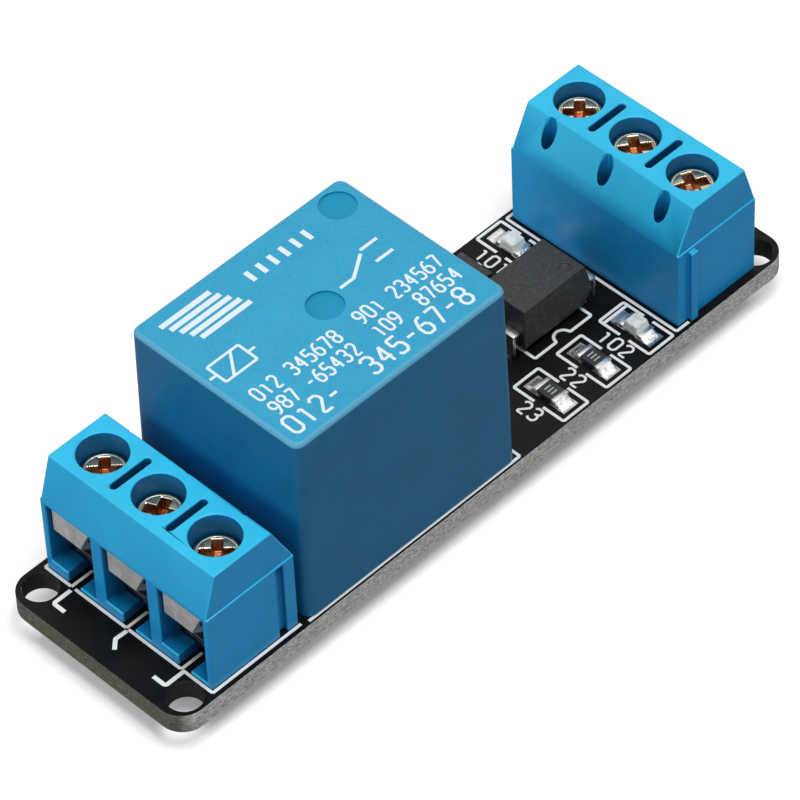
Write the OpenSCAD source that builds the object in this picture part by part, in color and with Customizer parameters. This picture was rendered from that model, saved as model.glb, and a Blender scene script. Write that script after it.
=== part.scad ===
// Single-channel relay module: a black board with a sealed power relay,
// two three-way screw terminal blocks, an optocoupler and the small parts
// that drive the coil.
//
// Frame: the origin is the centre of the four mounting holes, on the
// underside of the board. +X runs along the board from the contact terminals
// to the control terminals, and +Z is up. All sizes are millimetres.

/* [Board] */
// Width of the board
board_w = 16.4; // [16.2:0.1:18]
// Room on the board between the relay and the control block
control_l = 15.73; // [15.2:0.1:18]
// Thickness of the board
board_t = 1.6; // [1:0.1:2]
// Radius of the board's corners
corner_r = 1.8; // [0.5:0.1:2.4]
// Diameter of the mounting holes
hole_d = 2.5; // [2:0.1:2.7]
// From a hole's centre to the end of the board
hole_in_x = 1.8; // [1.6:0.1:2]
// From a hole's centre to the side of the board
hole_in_y = 1.55; // [1.5:0.05:2]

/* [Terminal blocks] */
// Distance between neighbouring poles
pitch = 5.08; // [5:0.01:5.1]
// From the outer pole's centre to the end face
block_side = 2.52; // [2.45:0.01:2.6]
// Height of a block above the board
block_h = 9.8; // [9.6:0.1:11]
// From the screws' line to the entry face
block_front = 3.47; // [3.3:0.05:3.8]
// From the screws' line to the rear face
block_rear = 4.09; // [4:0.05:4.5]
// Half of the flat top
top_half = 2.45; // [2.3:0.05:2.6]
// Height where both slopes start
slope_z = 6.5; // [6.3:0.1:6.8]
// How far the upper part stands back on each end
upper_step = 0.1; // [0.05:0.05:0.2]
// Width of a pole's cell
cell_w = 4.1; // [4:0.05:4.2]
// Height of a pole's entry window
window_z = 6.15; // [6.1:0.05:6.25]
// From the screws' line to the back of the cell
cell_rear = 2.3; // [2.3:0.05:2.6]
// Thickness of the floor under a cell
floor_t = 0.6; // [0.4:0.1:0.6]
// From the contact block's entry face to the board's end
near_in = 3.3; // [3.1:0.1:3.6]
// From the control block's entry face to the board's end
far_in = 2.9; // [2.7:0.1:3.3]

/* [Terminal screws and clamps] */
// Diameter of the screw's well
well_d = 3.46; // [3.4:0.02:3.6]
// Diameter of the screw's head
head_d = 3.2; // [3:0.05:3.3]
// Height of the screw's head
head_h = 1.3; // [1:0.1:1.3]
// How deep the heads sit in the contact block's wells
contact_sink = 1.65; // [1.6:0.05:2.2]
// How deep the heads sit in the control block's wells
control_sink = 1.2; // [1.1:0.05:1.6]
// Diameter of the screw's shank
shank_d = 2.5; // [2:0.1:2.6]
// Travel of the clamp from open to closed
clamp_travel = 1.6; // [1.2:0.1:1.6]
// Outer width of the clamp
clamp_w = 3.7; // [3.4:0.1:3.8]
// Depth of the clamp, along the wire
clamp_l = 3.5; // [3.2:0.05:3.5]
// Thickness of the clamp's jaw and sides
clamp_t = 0.6; // [0.5:0.05:0.65]
// Thickness of the clamp's threaded top
clamp_top_t = 0.9; // [0.8:0.05:0.9]

/* [Terminal contacts] */
// Thickness of the contact strip
strip_t = 0.45; // [0.35:0.05:0.45]
// Width of the contact's tongue
tongue_w = 2.2; // [1.8:0.1:2.3]
// Width of the guard plate in the entry
guard_w = 3.6; // [3.4:0.05:3.7]
// Width of the guard plate's lower edge
guard_low_w = 2.5; // [2.3:0.05:2.7]
// Height of the guard plate's lower edge above the board
guard_z = 3.7; // [3.6:0.05:3.8]
// Width of a terminal's pin
pin_w = 1; // [0.8:0.1:1]
// How far the terminals' pins stand out under the board
pin_out = 1.9; // [1.8:0.1:2.4]

/* [Relay] */
// Length of the relay at its base
relay_l = 19; // [18.6:0.1:19.2]
// Width of the relay at its base
relay_w = 15.3; // [15:0.1:15.6]
// Height of the relay above the board
relay_h = 15.75; // [15.6:0.05:16.5]
// How far each side of the cover leans in towards the top
cover_lean = 0.18; // [0.05:0.01:0.2]
// Thickness of the cover's wall
cover_wall = 0.8; // [0.6:0.05:0.85]
// Gap between the contact block and the relay
relay_gap = 0.55; // [0.3:0.05:0.7]
// How far the relay stands towards the board's near side
relay_shift = 0.28; // [0.1:0.02:0.3]
// Diameter of the dimples on top of the cover
dimple_d = 2.56; // [2:0.1:3]
// Gap between the relay's moving contact and its open contact
contact_gap = 0.8; // [0.5:0.05:0.8]
// Diameter of the coil's core
core_d = 4; // [3.5:0.1:4.4]
// Outer diameter of the coil's winding
winding_d = 9.4; // [8:0.1:9.6]
// Thickness of the yoke
yoke_t = 1.2; // [1:0.05:1.25]
// Thickness of the armature
armature_t = 1.1; // [0.9:0.05:1.15]
// From the cover's end to the line of its contact pins
side_pin_in = 2.5; // [2.4:0.05:2.7]
// How far the relay's pins stand out under the board
relay_pin_out = 1.6; // [1.2:0.1:1.7]

/* [Small parts] */
// Length of the optocoupler's body, across its rows of leads
opto_l = 6.5; // [6.3:0.1:6.6]
// Width of the optocoupler's body
opto_w = 4.58; // [4.4:0.02:4.8]
// Thickness of the optocoupler's body
opto_t = 3.5; // [3.2:0.1:3.6]
// Distance between the optocoupler's rows of leads
opto_span = 7.62; // [7.5:0.02:7.7]
// Distance between neighbouring leads
lead_pitch = 2.54; // [2.5:0.01:2.6]
// Length of a chip resistor or light
chip_l = 2; // [1.9:0.05:2.1]
// Width of a chip resistor or light
chip_w = 1.25; // [1.15:0.05:1.35]
// Thickness of a chip resistor
chip_t = 0.5; // [0.4:0.05:0.6]
// Thickness of a chip light, with its lens
light_t = 0.85; // [0.75:0.05:1]
// From the chips' centres to the side of the board
chip_in = 2.55; // [2.5:0.05:2.8]
// Distance between neighbouring chips in the near row
chip_step = 4.1; // [3.9:0.1:4.2]
// From the lights' line to the control block
light_in = 1.95; // [1.7:0.05:2.1]
// From the diode's line to the relay
diode_in = 1.68; // [1.4:0.02:1.8]
// From the optocoupler's near leads to the control block
opto_in = 1.99; // [1.9:0.01:2.2]

/* [Hidden] */
$fn = 40;
// Gap left for a moving fit
fit = 0.05;
// Small overlap that lets one cut break through another
eps = 0.5;
poles = 3;
board_z = board_t;
board_l = near_in + block_front + block_rear + relay_gap + relay_l
    + control_l + block_rear + block_front + far_in;

// Terminal blocks
block_w = (poles - 1) * pitch + 2 * block_side;
near_x = -board_l / 2 + near_in + block_front;
far_x = board_l / 2 - far_in - block_front;
foot_l = 1.6;
foot_h = 0.9;
sill_h = 0.25;
notch_w = 1.05;
contact_seat = block_h - contact_sink - head_h;
control_seat = block_h - control_sink - head_h;
shank_clear = 0.1;
slot_w = 0.55;
slot_l = 3.4;
slot_depth = 2.5;
relief_d = 1.05;
relief_x = top_half + 0.5;
relief_z = slope_z - 0.3;
rib_x = cell_rear + 0.5;
rib_root = 0.5;
rib_tip = 0.72;
rib_out = 0.36;
groove_mouth = rib_root + 2 * fit;
groove_floor = rib_tip + 2 * fit;
groove_depth = rib_out + fit;
rib_h = slope_z - 0.2;

// Clamps, contacts and screws
clamp_z = floor_t + 0.1;
jaw_z = clamp_z + clamp_t;
tongue_z = jaw_z + clamp_travel + fit;
clamp_top_z = tongue_z + strip_t + fit;
clamp_h = clamp_top_z + clamp_top_t - clamp_z;
screw_end_z = clamp_top_z - fit;
leg_w = tongue_w;
guard_x = -block_front + 0.35;
tongue_x = -clamp_l / 2 - 0.3;
guard_side = cell_w / 2 - 0.15;
guard_top = window_z - 0.1;
guard_link_w = 1.3;
recess_w = 0.8;
recess_root = 0.42;
recess_l = 2.4;
recess_depth = 0.85;
// where each screw stopped when it was last turned, in degrees
contact_turns = [45, 25, 47];
control_turns = [43, 53, 65];

// Relay
relay_x = near_x + block_rear + relay_gap + relay_l / 2;
cover_r = 0.7;
cover_top_t = 0.9;
cover_lift = 0.1;
edge_soft = 0.4;
dimple_depth = 0.12;
cover_gap = 0.05;
base_z = 0.7;
base_top = 2.2;
seal_z = 0.25;
foot_r = 0.6;
ceiling_z = relay_h - cover_top_t;
arm_t = 0.4;
arm_w = 1.8;
button_t = 0.35;
button_r = 0.8;
blade_t = 0.2;
nc_z = ceiling_z - 0.25 - arm_t;
blade_top = nc_z - 2 * button_t - fit - contact_gap;
armature_z = blade_top - blade_t - armature_t;
yoke_top = armature_z - fit / 2;
no_z = blade_top - blade_t - 2 * button_t - fit / 2 - arm_t;
yoke_x = relay_l / 2 - cover_wall - 0.9 - yoke_t;
pivot_x = yoke_x + yoke_t;
yoke_w = 9;
side_pin_x = -relay_l / 2 + side_pin_in;
contact_x = side_pin_x + 0.3;
open_angle = asin(contact_gap / (pivot_x - contact_x));
flange_t = 0.7;
flange_l = 10;
flange_w = 10.4;
coil_x = yoke_x - 0.3 - flange_l / 2;
coil_z = base_top + yoke_t;
tube_wall = 0.7;
pole_d = 6.6;
pole_t = 0.7;
ear_l = 2;
ear_w = 2.1;
winding_z = coil_z + flange_t;
winding_h = yoke_top - pole_t - flange_t - winding_z;
row_y = 6;
com_x = pivot_x - yoke_t / 2;
coil_pin_x = com_x - 2;
coil_pin_r = 0.35;
blade_w = 3.2;
blade_root_w = 6;
armature_w = 8.4;
tail_h = 4.2;
tail_gap = 0.15;
stub_r = 0.5;
stub_y = 1.7;

// Small parts
opto_x = far_x - block_rear - opto_in - opto_span / 2;
opto_lift = 0.5;
opto_lean = 0.35;
lead_t = 0.25;
lead_wide = 1.25;
lead_slim = 0.5;
lead_out = 1.5;
mark_r = 0.42;
mark_in = 1.3;
mark_deep = 0.12;
near_row = -board_w / 2 + chip_in;
far_row = board_w / 2 - chip_in;
light_x = far_x - block_rear - light_in;
diode_x = relay_x + relay_l / 2 + diode_in;
cap_l = 0.35;
cap_skin = 0.04;
light_base_t = 0.35;
pad_l = 0.75;
sot_l = 2.9;
sot_w = 1.3;
sot_t = 1;
sot_lift = 0.1;
sot_span = 2.3;
melf_d = 1.5;
melf_l = 3.5;
melf_cap = 0.5;

// Holes in the board and the solder in them
hole_clear = 0.25;
lead_hole_d = 0.9;
fillet_h = 1.1;
fillet_grow = 0.55;
collar_h = 0.12;

// ---------- shared shapes ----------

// A flat plate with round corners, standing on z = 0.
module plate(l, w, t, r) {
    linear_extrude(t) {
        square([l - 2 * r, w], center = true);
        square([l, w - 2 * r], center = true);
        for (x = [-1, 1], y = [-1, 1])
            translate([x * (l / 2 - r), y * (w / 2 - r)]) circle(r);
    }
}

// A box given by its lowest corner and its size.
module block(low, size) {
    translate(low) cube(size);
}

// An outline in X and Z, drawn out along Y by w and centred on y.
module strip(points, w, y = 0) {
    translate([0, y + w / 2, 0]) rotate([90, 0, 0]) linear_extrude(w) polygon(points);
}

// A slot with round ends, lying along X.
module round_slot(l, w, h) {
    linear_extrude(h) {
        square([l - w, w], center = true);
        for (x = [-1, 1]) translate([x * (l - w) / 2, 0]) circle(w / 2);
    }
}

// ---------- places ----------

function pole_y(i) = (i - (poles - 1) / 2) * pitch;

// The block at the near end takes its wires from -X, the far one from +X.
module at_near() {
    translate([near_x, 0, board_z]) children();
}
module at_far() {
    translate([far_x, 0, board_z]) rotate([0, 0, 180]) children();
}
module at_pole(i) {
    translate([0, pole_y(i), 0]) children();
}
module at_relay() {
    translate([relay_x, -relay_shift, board_z]) children();
}
// The armature's rest place, lifted off the core by the open angle.
module at_armature() {
    at_relay() translate([pivot_x, 0, yoke_top]) rotate([0, open_angle, 0])
        translate([-pivot_x, 0, -yoke_top]) children();
}
module at_opto() {
    translate([opto_x, 0, board_z]) children();
}
// The chips on the near row, counted from the terminal end, and on the far row.
module at_near_chip(i) {
    translate([light_x - i * chip_step, near_row, board_z]) children();
}
module at_far_chip(i) {
    translate([light_x - i * chip_step, far_row, board_z]) children();
}
module at_diode() {
    translate([diode_x, far_row, board_z]) children();
}

// The strip pins' centre inside a block.
pin_x = cell_rear - strip_t / 2;
pin_hole_d = norm([pin_w, strip_t]) + hole_clear;
relay_pin = [0.5, 0.9];
relay_hole_d = norm(relay_pin) + hole_clear;
coil_hole_d = 2 * coil_pin_r + hole_clear;

// ---------- board ----------

module pin_holes(grow = 0) {
    for (i = [0 : poles - 1]) {
        at_near() at_pole(i) translate([pin_x, 0, 0]) children(0);
        at_far() at_pole(i) translate([pin_x, 0, 0]) children(0);
    }
}

module board() {
    color("#16171a") difference() {
        plate(board_l, board_w, board_t, corner_r);
        for (x = [-1, 1], y = [-1, 1])
            translate([x * (board_l / 2 - hole_in_x), y * (board_w / 2 - hole_in_y), -eps])
                cylinder(d = hole_d, h = board_t + 2 * eps);
        pin_holes() translate([0, 0, -board_t - eps])
            cylinder(d = pin_hole_d, h = board_t + 2 * eps);
        at_relay() for (p = relay_pins) translate([p[0], p[1], -board_t - eps])
            cylinder(d = p[2], h = board_t + 2 * eps);
        at_opto() for (x = [-1, 1], y = [-1, 1])
            translate([x * opto_span / 2, y * lead_pitch / 2, -board_t - eps])
                cylinder(d = lead_hole_d, h = board_t + 2 * eps);
    }
}

// ---------- terminal blocks ----------

module block_body() {
    // the straight part, up to the slopes
    strip([[-block_front, 0], [block_rear, 0], [block_rear, slope_z],
           [-block_front, slope_z]], block_w);
    // the sloped part, a little narrower
    strip([[-block_front, slope_z], [block_rear, slope_z], [top_half, block_h],
           [-top_half, block_h]], block_w - 2 * upper_step);
    // the dovetail rib that joins the next block
    translate([rib_x, block_w / 2, 0]) linear_extrude(rib_h)
        polygon([[-rib_root / 2, -eps], [rib_root / 2, -eps], [rib_root / 2, 0],
                 [rib_tip / 2, rib_out], [-rib_tip / 2, rib_out], [-rib_root / 2, 0]]);
}

// One pole's cell: open at the entry face and down to the board, with a
// raised foot on one side of the notch and a thin sill on the other.
module cell() {
    difference() {
        block([-block_front - eps, -cell_w / 2, sill_h],
              [block_front + eps + cell_rear, cell_w, window_z - sill_h]);
        block([-block_front, notch_w / 2, 0], [foot_l, cell_w, foot_h]);
        block([-block_front + foot_l, -cell_w, 0],
              [block_front + block_rear, 2 * cell_w, floor_t]);
    }
    block([-block_front - eps, -notch_w / 2, -eps],
          [eps + foot_l + 0.4, notch_w, eps + floor_t + 0.1]);
    // the way down for the pin
    block([cell_rear - strip_t, -pin_w / 2 - fit, -eps],
          [strip_t, pin_w + 2 * fit, eps + floor_t + 0.1]);
}

module well(seat) {
    translate([0, 0, seat]) cylinder(d = well_d, h = block_h);
    translate([0, 0, window_z - 0.1])
        cylinder(d = shank_d + 2 * shank_clear, h = block_h);
    // the upright hole that opens on the rear slope
    translate([relief_x, 0, relief_z]) cylinder(d = relief_d, h = block_h);
}

module terminal_block(seat) {
    color("#1c8cc8") difference() {
        block_body();
        for (i = [0 : poles - 1]) at_pole(i) {
            cell();
            well(seat);
        }
        for (i = [0 : poles - 2])
            translate([0, (pole_y(i) + pole_y(i + 1)) / 2, block_h - slot_depth])
                round_slot(slot_l, slot_w, slot_depth + eps);
        // the groove that takes the next block's rib
        translate([rib_x, -block_w / 2, -eps]) linear_extrude(rib_h + eps)
            polygon([[-groove_mouth / 2, -eps], [groove_mouth / 2, -eps],
                     [groove_mouth / 2, 0], [groove_floor / 2, groove_depth],
                     [-groove_floor / 2, groove_depth], [-groove_mouth / 2, 0]]);
    }
}

// The fixed contact: pin, leg and tongue in one bent strip, which turns up at
// the entry into a guard plate with one slanting side.
module terminal_contact() {
    color("#b9bcc0") union() {
        strip([[tongue_x, tongue_z], [cell_rear, tongue_z],
               [cell_rear, tongue_z + strip_t], [tongue_x, tongue_z + strip_t]], tongue_w);
        block([cell_rear - strip_t, -leg_w / 2, floor_t],
              [strip_t, leg_w, tongue_z - floor_t]);
        block([cell_rear - strip_t, -pin_w / 2, -board_t - pin_out],
              [strip_t, pin_w, board_t + pin_out + floor_t]);
        strip([[guard_x, guard_z], [tongue_x, tongue_z], [tongue_x, tongue_z + strip_t],
               [guard_x + strip_t, guard_z + strip_t], [guard_x, guard_z + strip_t]],
              guard_link_w);
        translate([guard_x, 0, 0]) rotate([90, 0, 90]) linear_extrude(strip_t)
            polygon([[guard_side - guard_low_w, guard_z], [guard_side, guard_z],
                     [guard_side, guard_top], [guard_side - guard_w, guard_top]]);
    }
}

// The rising clamp: a closed cage with a threaded top, which lifts its lower
// jaw against the tongue.
module terminal_clamp() {
    color("#c9c9c4") difference() {
        block([-clamp_l / 2, -clamp_w / 2, clamp_z], [clamp_l, clamp_w, clamp_h]);
        block([-clamp_l / 2 - eps, -clamp_w / 2 + clamp_t, jaw_z],
              [clamp_l + 2 * eps, clamp_w - 2 * clamp_t, clamp_top_z - jaw_z]);
        translate([0, 0, clamp_top_z - eps])
            cylinder(d = shank_d + 2 * fit, h = clamp_top_t + 2 * eps);
    }
}

// One arm of the cross recess, narrower towards its floor.
module recess_arm() {
    half = recess_w / 2;
    slope = (recess_w - recess_root) / 2;
    reach = recess_l / 2;
    intersection() {
        strip([[-reach, 0.1], [reach, 0.1], [reach, 0], [reach - 2 * slope, -recess_depth],
               [2 * slope - reach, -recess_depth], [-reach, 0]], recess_w + eps);
        rotate([0, 0, 90])
            strip([[-half, 0.1], [half, 0.1], [half, 0], [half - slope, -recess_depth],
                   [slope - half, -recess_depth], [-half, 0]], recess_l + eps);
    }
}

module terminal_screw(turn, seat) {
    color("#c8a24a") difference() {
        union() {
            translate([0, 0, seat + fit]) cylinder(d = head_d, h = head_h - 0.2);
            translate([0, 0, seat + fit + head_h - 0.2])
                cylinder(d1 = head_d, d2 = head_d - 0.5, h = 0.2);
            translate([0, 0, screw_end_z])
                cylinder(d = shank_d, h = seat + fit - screw_end_z + 0.1);
        }
        for (a = [turn, turn + 90])
            translate([0, 0, seat + fit + head_h]) rotate([0, 0, a]) recess_arm();
    }
}

// ---------- relay ----------

// One level of the cover's outer shape, standing in by the given amount.
module cover_level(z, inset) {
    translate([0, 0, z])
        plate(relay_l - 2 * inset, relay_w - 2 * inset, 0.01, cover_r);
}

function lean_at(z) = cover_lean * z / relay_h;

module relay_cover() {
    color("#2196cf") at_relay() difference() {
        hull() {
            cover_level(cover_lift, 0);
            cover_level(relay_h - edge_soft, lean_at(relay_h - edge_soft));
            cover_level(relay_h - edge_soft * 0.3, cover_lean + edge_soft * 0.3);
            cover_level(relay_h - 0.01, cover_lean + edge_soft);
        }
        hull() {
            cover_level(cover_lift - eps, cover_wall);
            cover_level(ceiling_z, cover_wall + cover_lean);
        }
        for (p = [[relay_l / 2 - 2.2, relay_w / 2 - 2], [0.5, -0.05]])
            translate([p[0], p[1], relay_h - dimple_depth])
                cylinder(d = dimple_d, h = 1);
    }
}

relay_pins = [
    [com_x, 0, relay_hole_d],
    [side_pin_x, row_y, relay_hole_d],
    [side_pin_x, -row_y, relay_hole_d],
    [coil_pin_x, row_y, coil_hole_d],
    [coil_pin_x, -row_y, coil_hole_d]
];
feet = [for (x = [-1, 1], y = [-1, 1]) [x * (relay_l / 2 - 3), y * (relay_w / 2 - 3.6)]];
inner_l = relay_l - 2 * cover_wall - 2 * cover_gap - 2 * lean_at(base_top);
inner_w = relay_w - 2 * cover_wall - 2 * cover_gap - 2 * lean_at(base_top);

// The places where the relay's pins pass through its base and its seal.
module relay_pin_cuts(low, high, clear) {
    for (p = [[com_x, 0], [side_pin_x, row_y], [side_pin_x, -row_y]])
        block([p[0] - relay_pin[1] / 2 - clear, p[1] - relay_pin[0] / 2 - clear, low],
              [relay_pin[1] + 2 * clear, relay_pin[0] + 2 * clear, high - low]);
    for (y = [-row_y, row_y])
        translate([coil_pin_x, y, low]) cylinder(r = coil_pin_r + clear, h = high - low);
}

module relay_base() {
    color("#1a6fa3") at_relay() difference() {
        union() {
            translate([0, 0, base_z]) plate(inner_l, inner_w, base_top - base_z, cover_r);
            for (p = feet) translate([p[0], p[1], 0]) cylinder(r = foot_r, h = base_z + 0.1);
        }
        relay_pin_cuts(base_z - eps, base_top + eps, fit);
    }
}

module relay_seal() {
    color("#2b3238") at_relay() difference() {
        translate([0, 0, seal_z]) plate(inner_l, inner_w, base_z - seal_z, cover_r);
        for (p = feet) translate([p[0], p[1], -eps]) cylinder(r = foot_r, h = base_z + 2 * eps);
        relay_pin_cuts(seal_z - eps, base_z + eps, 0);
    }
}

module relay_yoke() {
    color("#8d9196") at_relay() difference() {
        union() {
            block([yoke_x, -yoke_w / 2, base_top], [yoke_t, yoke_w, yoke_top - base_top]);
            block([coil_x - pole_d / 2, -yoke_w / 2, base_top],
                  [yoke_x - coil_x + pole_d / 2 + 0.1, yoke_w, yoke_t]);
            block([com_x - relay_pin[1] / 2, -relay_pin[0] / 2, -board_t - relay_pin_out],
                  [relay_pin[1], relay_pin[0], base_top + board_t + relay_pin_out + 0.1]);
            // the studs that the blade's tail hangs on
            for (y = [-stub_y, stub_y])
                translate([pivot_x - 0.1, y, yoke_top - tail_h + 0.9]) rotate([0, 90, 0])
                    cylinder(r = stub_r, h = 0.1 + tail_gap + blade_t);
        }
        translate([coil_x, 0, base_top - eps]) cylinder(d = core_d, h = yoke_t + 2 * eps);
    }
}

module relay_core() {
    color("#a3a6a9") at_relay() translate([coil_x, 0, 0]) {
        translate([0, 0, base_top]) cylinder(d = core_d, h = yoke_top - base_top);
        translate([0, 0, yoke_top - pole_t]) cylinder(d = pole_d, h = pole_t);
    }
}

module relay_bobbin() {
    color("#e6e2d6") at_relay() difference() {
        translate([coil_x, 0, coil_z]) {
            plate(flange_l, flange_w, flange_t, 0.6);
            cylinder(d = core_d + 2 * tube_wall, h = 2 * flange_t + winding_h);
            translate([0, 0, flange_t + winding_h]) plate(flange_l, flange_w, flange_t, 0.6);
            // ears that hold the coil's pins
            for (y = [-1, 1])
                translate([coil_pin_x - coil_x, y * (row_y - ear_w / 4), 0])
                    plate(ear_l, ear_w, flange_t, ear_l / 7);
        }
        translate([coil_x, 0, coil_z - eps]) cylinder(d = core_d, h = yoke_top);
        for (y = [-row_y, row_y])
            translate([coil_pin_x, y, coil_z - eps]) cylinder(r = coil_pin_r, h = 2);
    }
}

module relay_winding() {
    color("#b5652b") at_relay() translate([coil_x, 0, winding_z]) difference() {
        cylinder(d = winding_d, h = winding_h);
        translate([0, 0, -eps]) cylinder(d = core_d + 2 * tube_wall, h = winding_h + 2 * eps);
    }
}

module relay_coil_pins() {
    color("#c3c5c8") at_relay() for (y = [-row_y, row_y])
        translate([coil_pin_x, y, -board_t - relay_pin_out])
            cylinder(r = coil_pin_r, h = board_t + relay_pin_out + coil_z + flange_t + 0.6);
}

module relay_armature() {
    color("#9a9da1") at_armature() {
        block([coil_x - pole_d / 2 - 0.2, -armature_w / 2, armature_z],
              [pivot_x - coil_x + pole_d / 2 + 0.2, armature_w, armature_t]);
        for (y = [-stub_y, stub_y])
            translate([coil_x + 1, y, armature_z + armature_t - 0.1])
                cylinder(r = stub_r, h = 0.1 + blade_t);
    }
}

// The moving contact's blade: riveted along the armature, with a tail that
// turns down behind the yoke.
module relay_blade() {
    low = blade_top - blade_t;
    out = pivot_x + tail_gap;
    color("#c98f4e") {
        at_armature() difference() {
            union() {
                block([contact_x - 1.1, -blade_w / 2, low],
                      [coil_x - 1 - contact_x + 1.1, blade_w, blade_t]);
                block([coil_x - 1.2, -blade_root_w / 2, low],
                      [out + blade_t - coil_x + 1.2, blade_root_w, blade_t]);
            }
            translate([contact_x, 0, low - eps]) cylinder(r = 0.45, h = 1 + eps);
            for (y = [-stub_y, stub_y])
                translate([coil_x + 1, y, low - eps]) cylinder(r = stub_r, h = 1 + eps);
        }
        at_relay() difference() {
            block([out, -blade_root_w / 2, yoke_top - tail_h],
                  [blade_t, blade_root_w, blade_top - blade_t / 2 - yoke_top + tail_h]);
            for (y = [-stub_y, stub_y])
                translate([out - eps, y, yoke_top - tail_h + 0.9]) rotate([0, 90, 0])
                    cylinder(r = stub_r + 0.3, h = 1 + eps);
        }
    }
}

module relay_moving_button() {
    color("#d9d9d6") at_armature() translate([contact_x, 0, blade_top - blade_t]) {
        translate([0, 0, -button_t]) cylinder(r = button_r, h = button_t);
        cylinder(r = 0.45, h = blade_t);
        translate([0, 0, blade_t]) cylinder(r = button_r, h = button_t);
    }
}

// A fixed contact's strip: pin and leg at one side, and an arm across to the
// contact line at height z.
module side_terminal(z, side) {
    difference() {
        union() {
            block([side_pin_x - arm_w / 2, side * row_y - relay_pin[0] / 2, base_top],
                  [arm_w, relay_pin[0], z + arm_t - base_top]);
            block([side_pin_x - relay_pin[1] / 2, side * row_y - relay_pin[0] / 2,
                   -board_t - relay_pin_out],
                  [relay_pin[1], relay_pin[0], base_top + board_t + relay_pin_out + 0.1]);
            block([contact_x - arm_w / 2, side > 0 ? -arm_w / 2 : -row_y, z],
                  [arm_w, row_y + arm_w / 2, arm_t]);
        }
        translate([contact_x, 0, z - eps]) cylinder(r = 0.45, h = 1 + 2 * eps);
    }
}

module relay_closed_terminal() {
    color("#c98f4e") at_relay() side_terminal(nc_z, 1);
}

module relay_open_terminal() {
    color("#c98f4e") at_relay() side_terminal(no_z, -1);
}

module relay_closed_button() {
    color("#d9d9d6") at_relay() translate([contact_x, 0, nc_z]) {
        translate([0, 0, -button_t]) cylinder(r = button_r, h = button_t);
        cylinder(r = 0.45, h = arm_t);
    }
}

module relay_open_button() {
    color("#d9d9d6") at_relay() translate([contact_x, 0, no_z]) {
        cylinder(r = 0.45, h = arm_t);
        translate([0, 0, arm_t]) cylinder(r = button_r, h = button_t);
    }
}

// ---------- small parts ----------

// The side view of a moulded body: widest at its parting line.
function drafted(l, h, lean) = [
    [-l / 2 + lean, 0], [l / 2 - lean, 0], [l / 2, h / 2],
    [l / 2 - lean, h], [-l / 2 + lean, h], [-l / 2, h / 2]
];
// The side view of a lens that narrows towards its top.
function narrowing(l, h, lean) = [[-l / 2, 0], [l / 2, 0], [l / 2 - lean, h], [-l / 2 + lean, h]];

module optocoupler_body() {
    color("#222324") at_opto() translate([0, 0, opto_lift]) difference() {
        intersection() {
            strip(drafted(opto_l, opto_t, opto_lean), opto_w);
            rotate([0, 0, 90]) strip(drafted(opto_w, opto_t, opto_lean), opto_l);
        }
        translate([opto_l / 2 - mark_in, -opto_w / 2 + mark_in, opto_t - mark_deep]) cylinder(r = mark_r, h = 1);
    }
}

// A lead bends out of the body's parting line, then down through the board.
module optocoupler_leads() {
    mid = opto_lift + opto_t / 2;
    out = opto_span / 2;
    color("#bfc2c4") at_opto() for (side = [0, 180], y = [-1, 1]) rotate([0, 0, side])
        translate([0, y * lead_pitch / 2, 0]) {
            strip([[opto_l / 2, mid - lead_t / 2], [out - lead_t / 2, mid - lead_t / 2],
                   [out - lead_t / 2, 0.6], [out + lead_t / 2, 0.6],
                   [out + lead_t / 2, mid + lead_t / 2], [opto_l / 2, mid + lead_t / 2]],
                  lead_wide);
            block([out - lead_t / 2, -lead_slim / 2, -board_t - lead_out],
                  [lead_t, lead_slim, board_t + lead_out + 0.7]);
        }
}

module chip_body(h) {
    block([-chip_w / 2, -chip_l / 2 + cap_l, 0], [chip_w, chip_l - 2 * cap_l, h]);
}

// Two end caps, a little proud of the body.
module chip_caps(h) {
    for (y = [-chip_l / 2, chip_l / 2 - cap_l])
        block([-chip_w / 2 - cap_skin, y, 0], [chip_w + 2 * cap_skin, cap_l, h + cap_skin]);
}

module resistor_1() {
    color("#1d1d1f") at_far_chip(2) chip_body(chip_t);
}
module resistor_2() {
    color("#1d1d1f") at_near_chip(1) chip_body(chip_t);
}
module resistor_3() {
    color("#1d1d1f") at_near_chip(2) chip_body(chip_t);
}
module resistor_caps() {
    color("#c8cacc") {
        at_far_chip(2) chip_caps(chip_t);
        at_near_chip(1) chip_caps(chip_t);
        at_near_chip(2) chip_caps(chip_t);
    }
}

module light_base() {
    color("#e9e6dc") chip_body(light_base_t);
}
module light_lens() {
    h = light_t - light_base_t;
    l = chip_l - 2 * cap_l;
    color("#dfeae6") translate([0, 0, light_base_t]) intersection() {
        strip(narrowing(chip_w, h, 0.08), l);
        rotate([0, 0, 90]) strip(narrowing(l, h, 0.12), chip_w);
    }
}
module light_base_1() {
    at_far_chip(0) light_base();
}
module light_base_2() {
    at_near_chip(0) light_base();
}
module light_lens_1() {
    at_far_chip(0) light_lens();
}
module light_lens_2() {
    at_near_chip(0) light_lens();
}
module light_caps() {
    color("#c8cacc") {
        at_far_chip(0) chip_caps(light_base_t);
        at_near_chip(0) chip_caps(light_base_t);
    }
}

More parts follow.
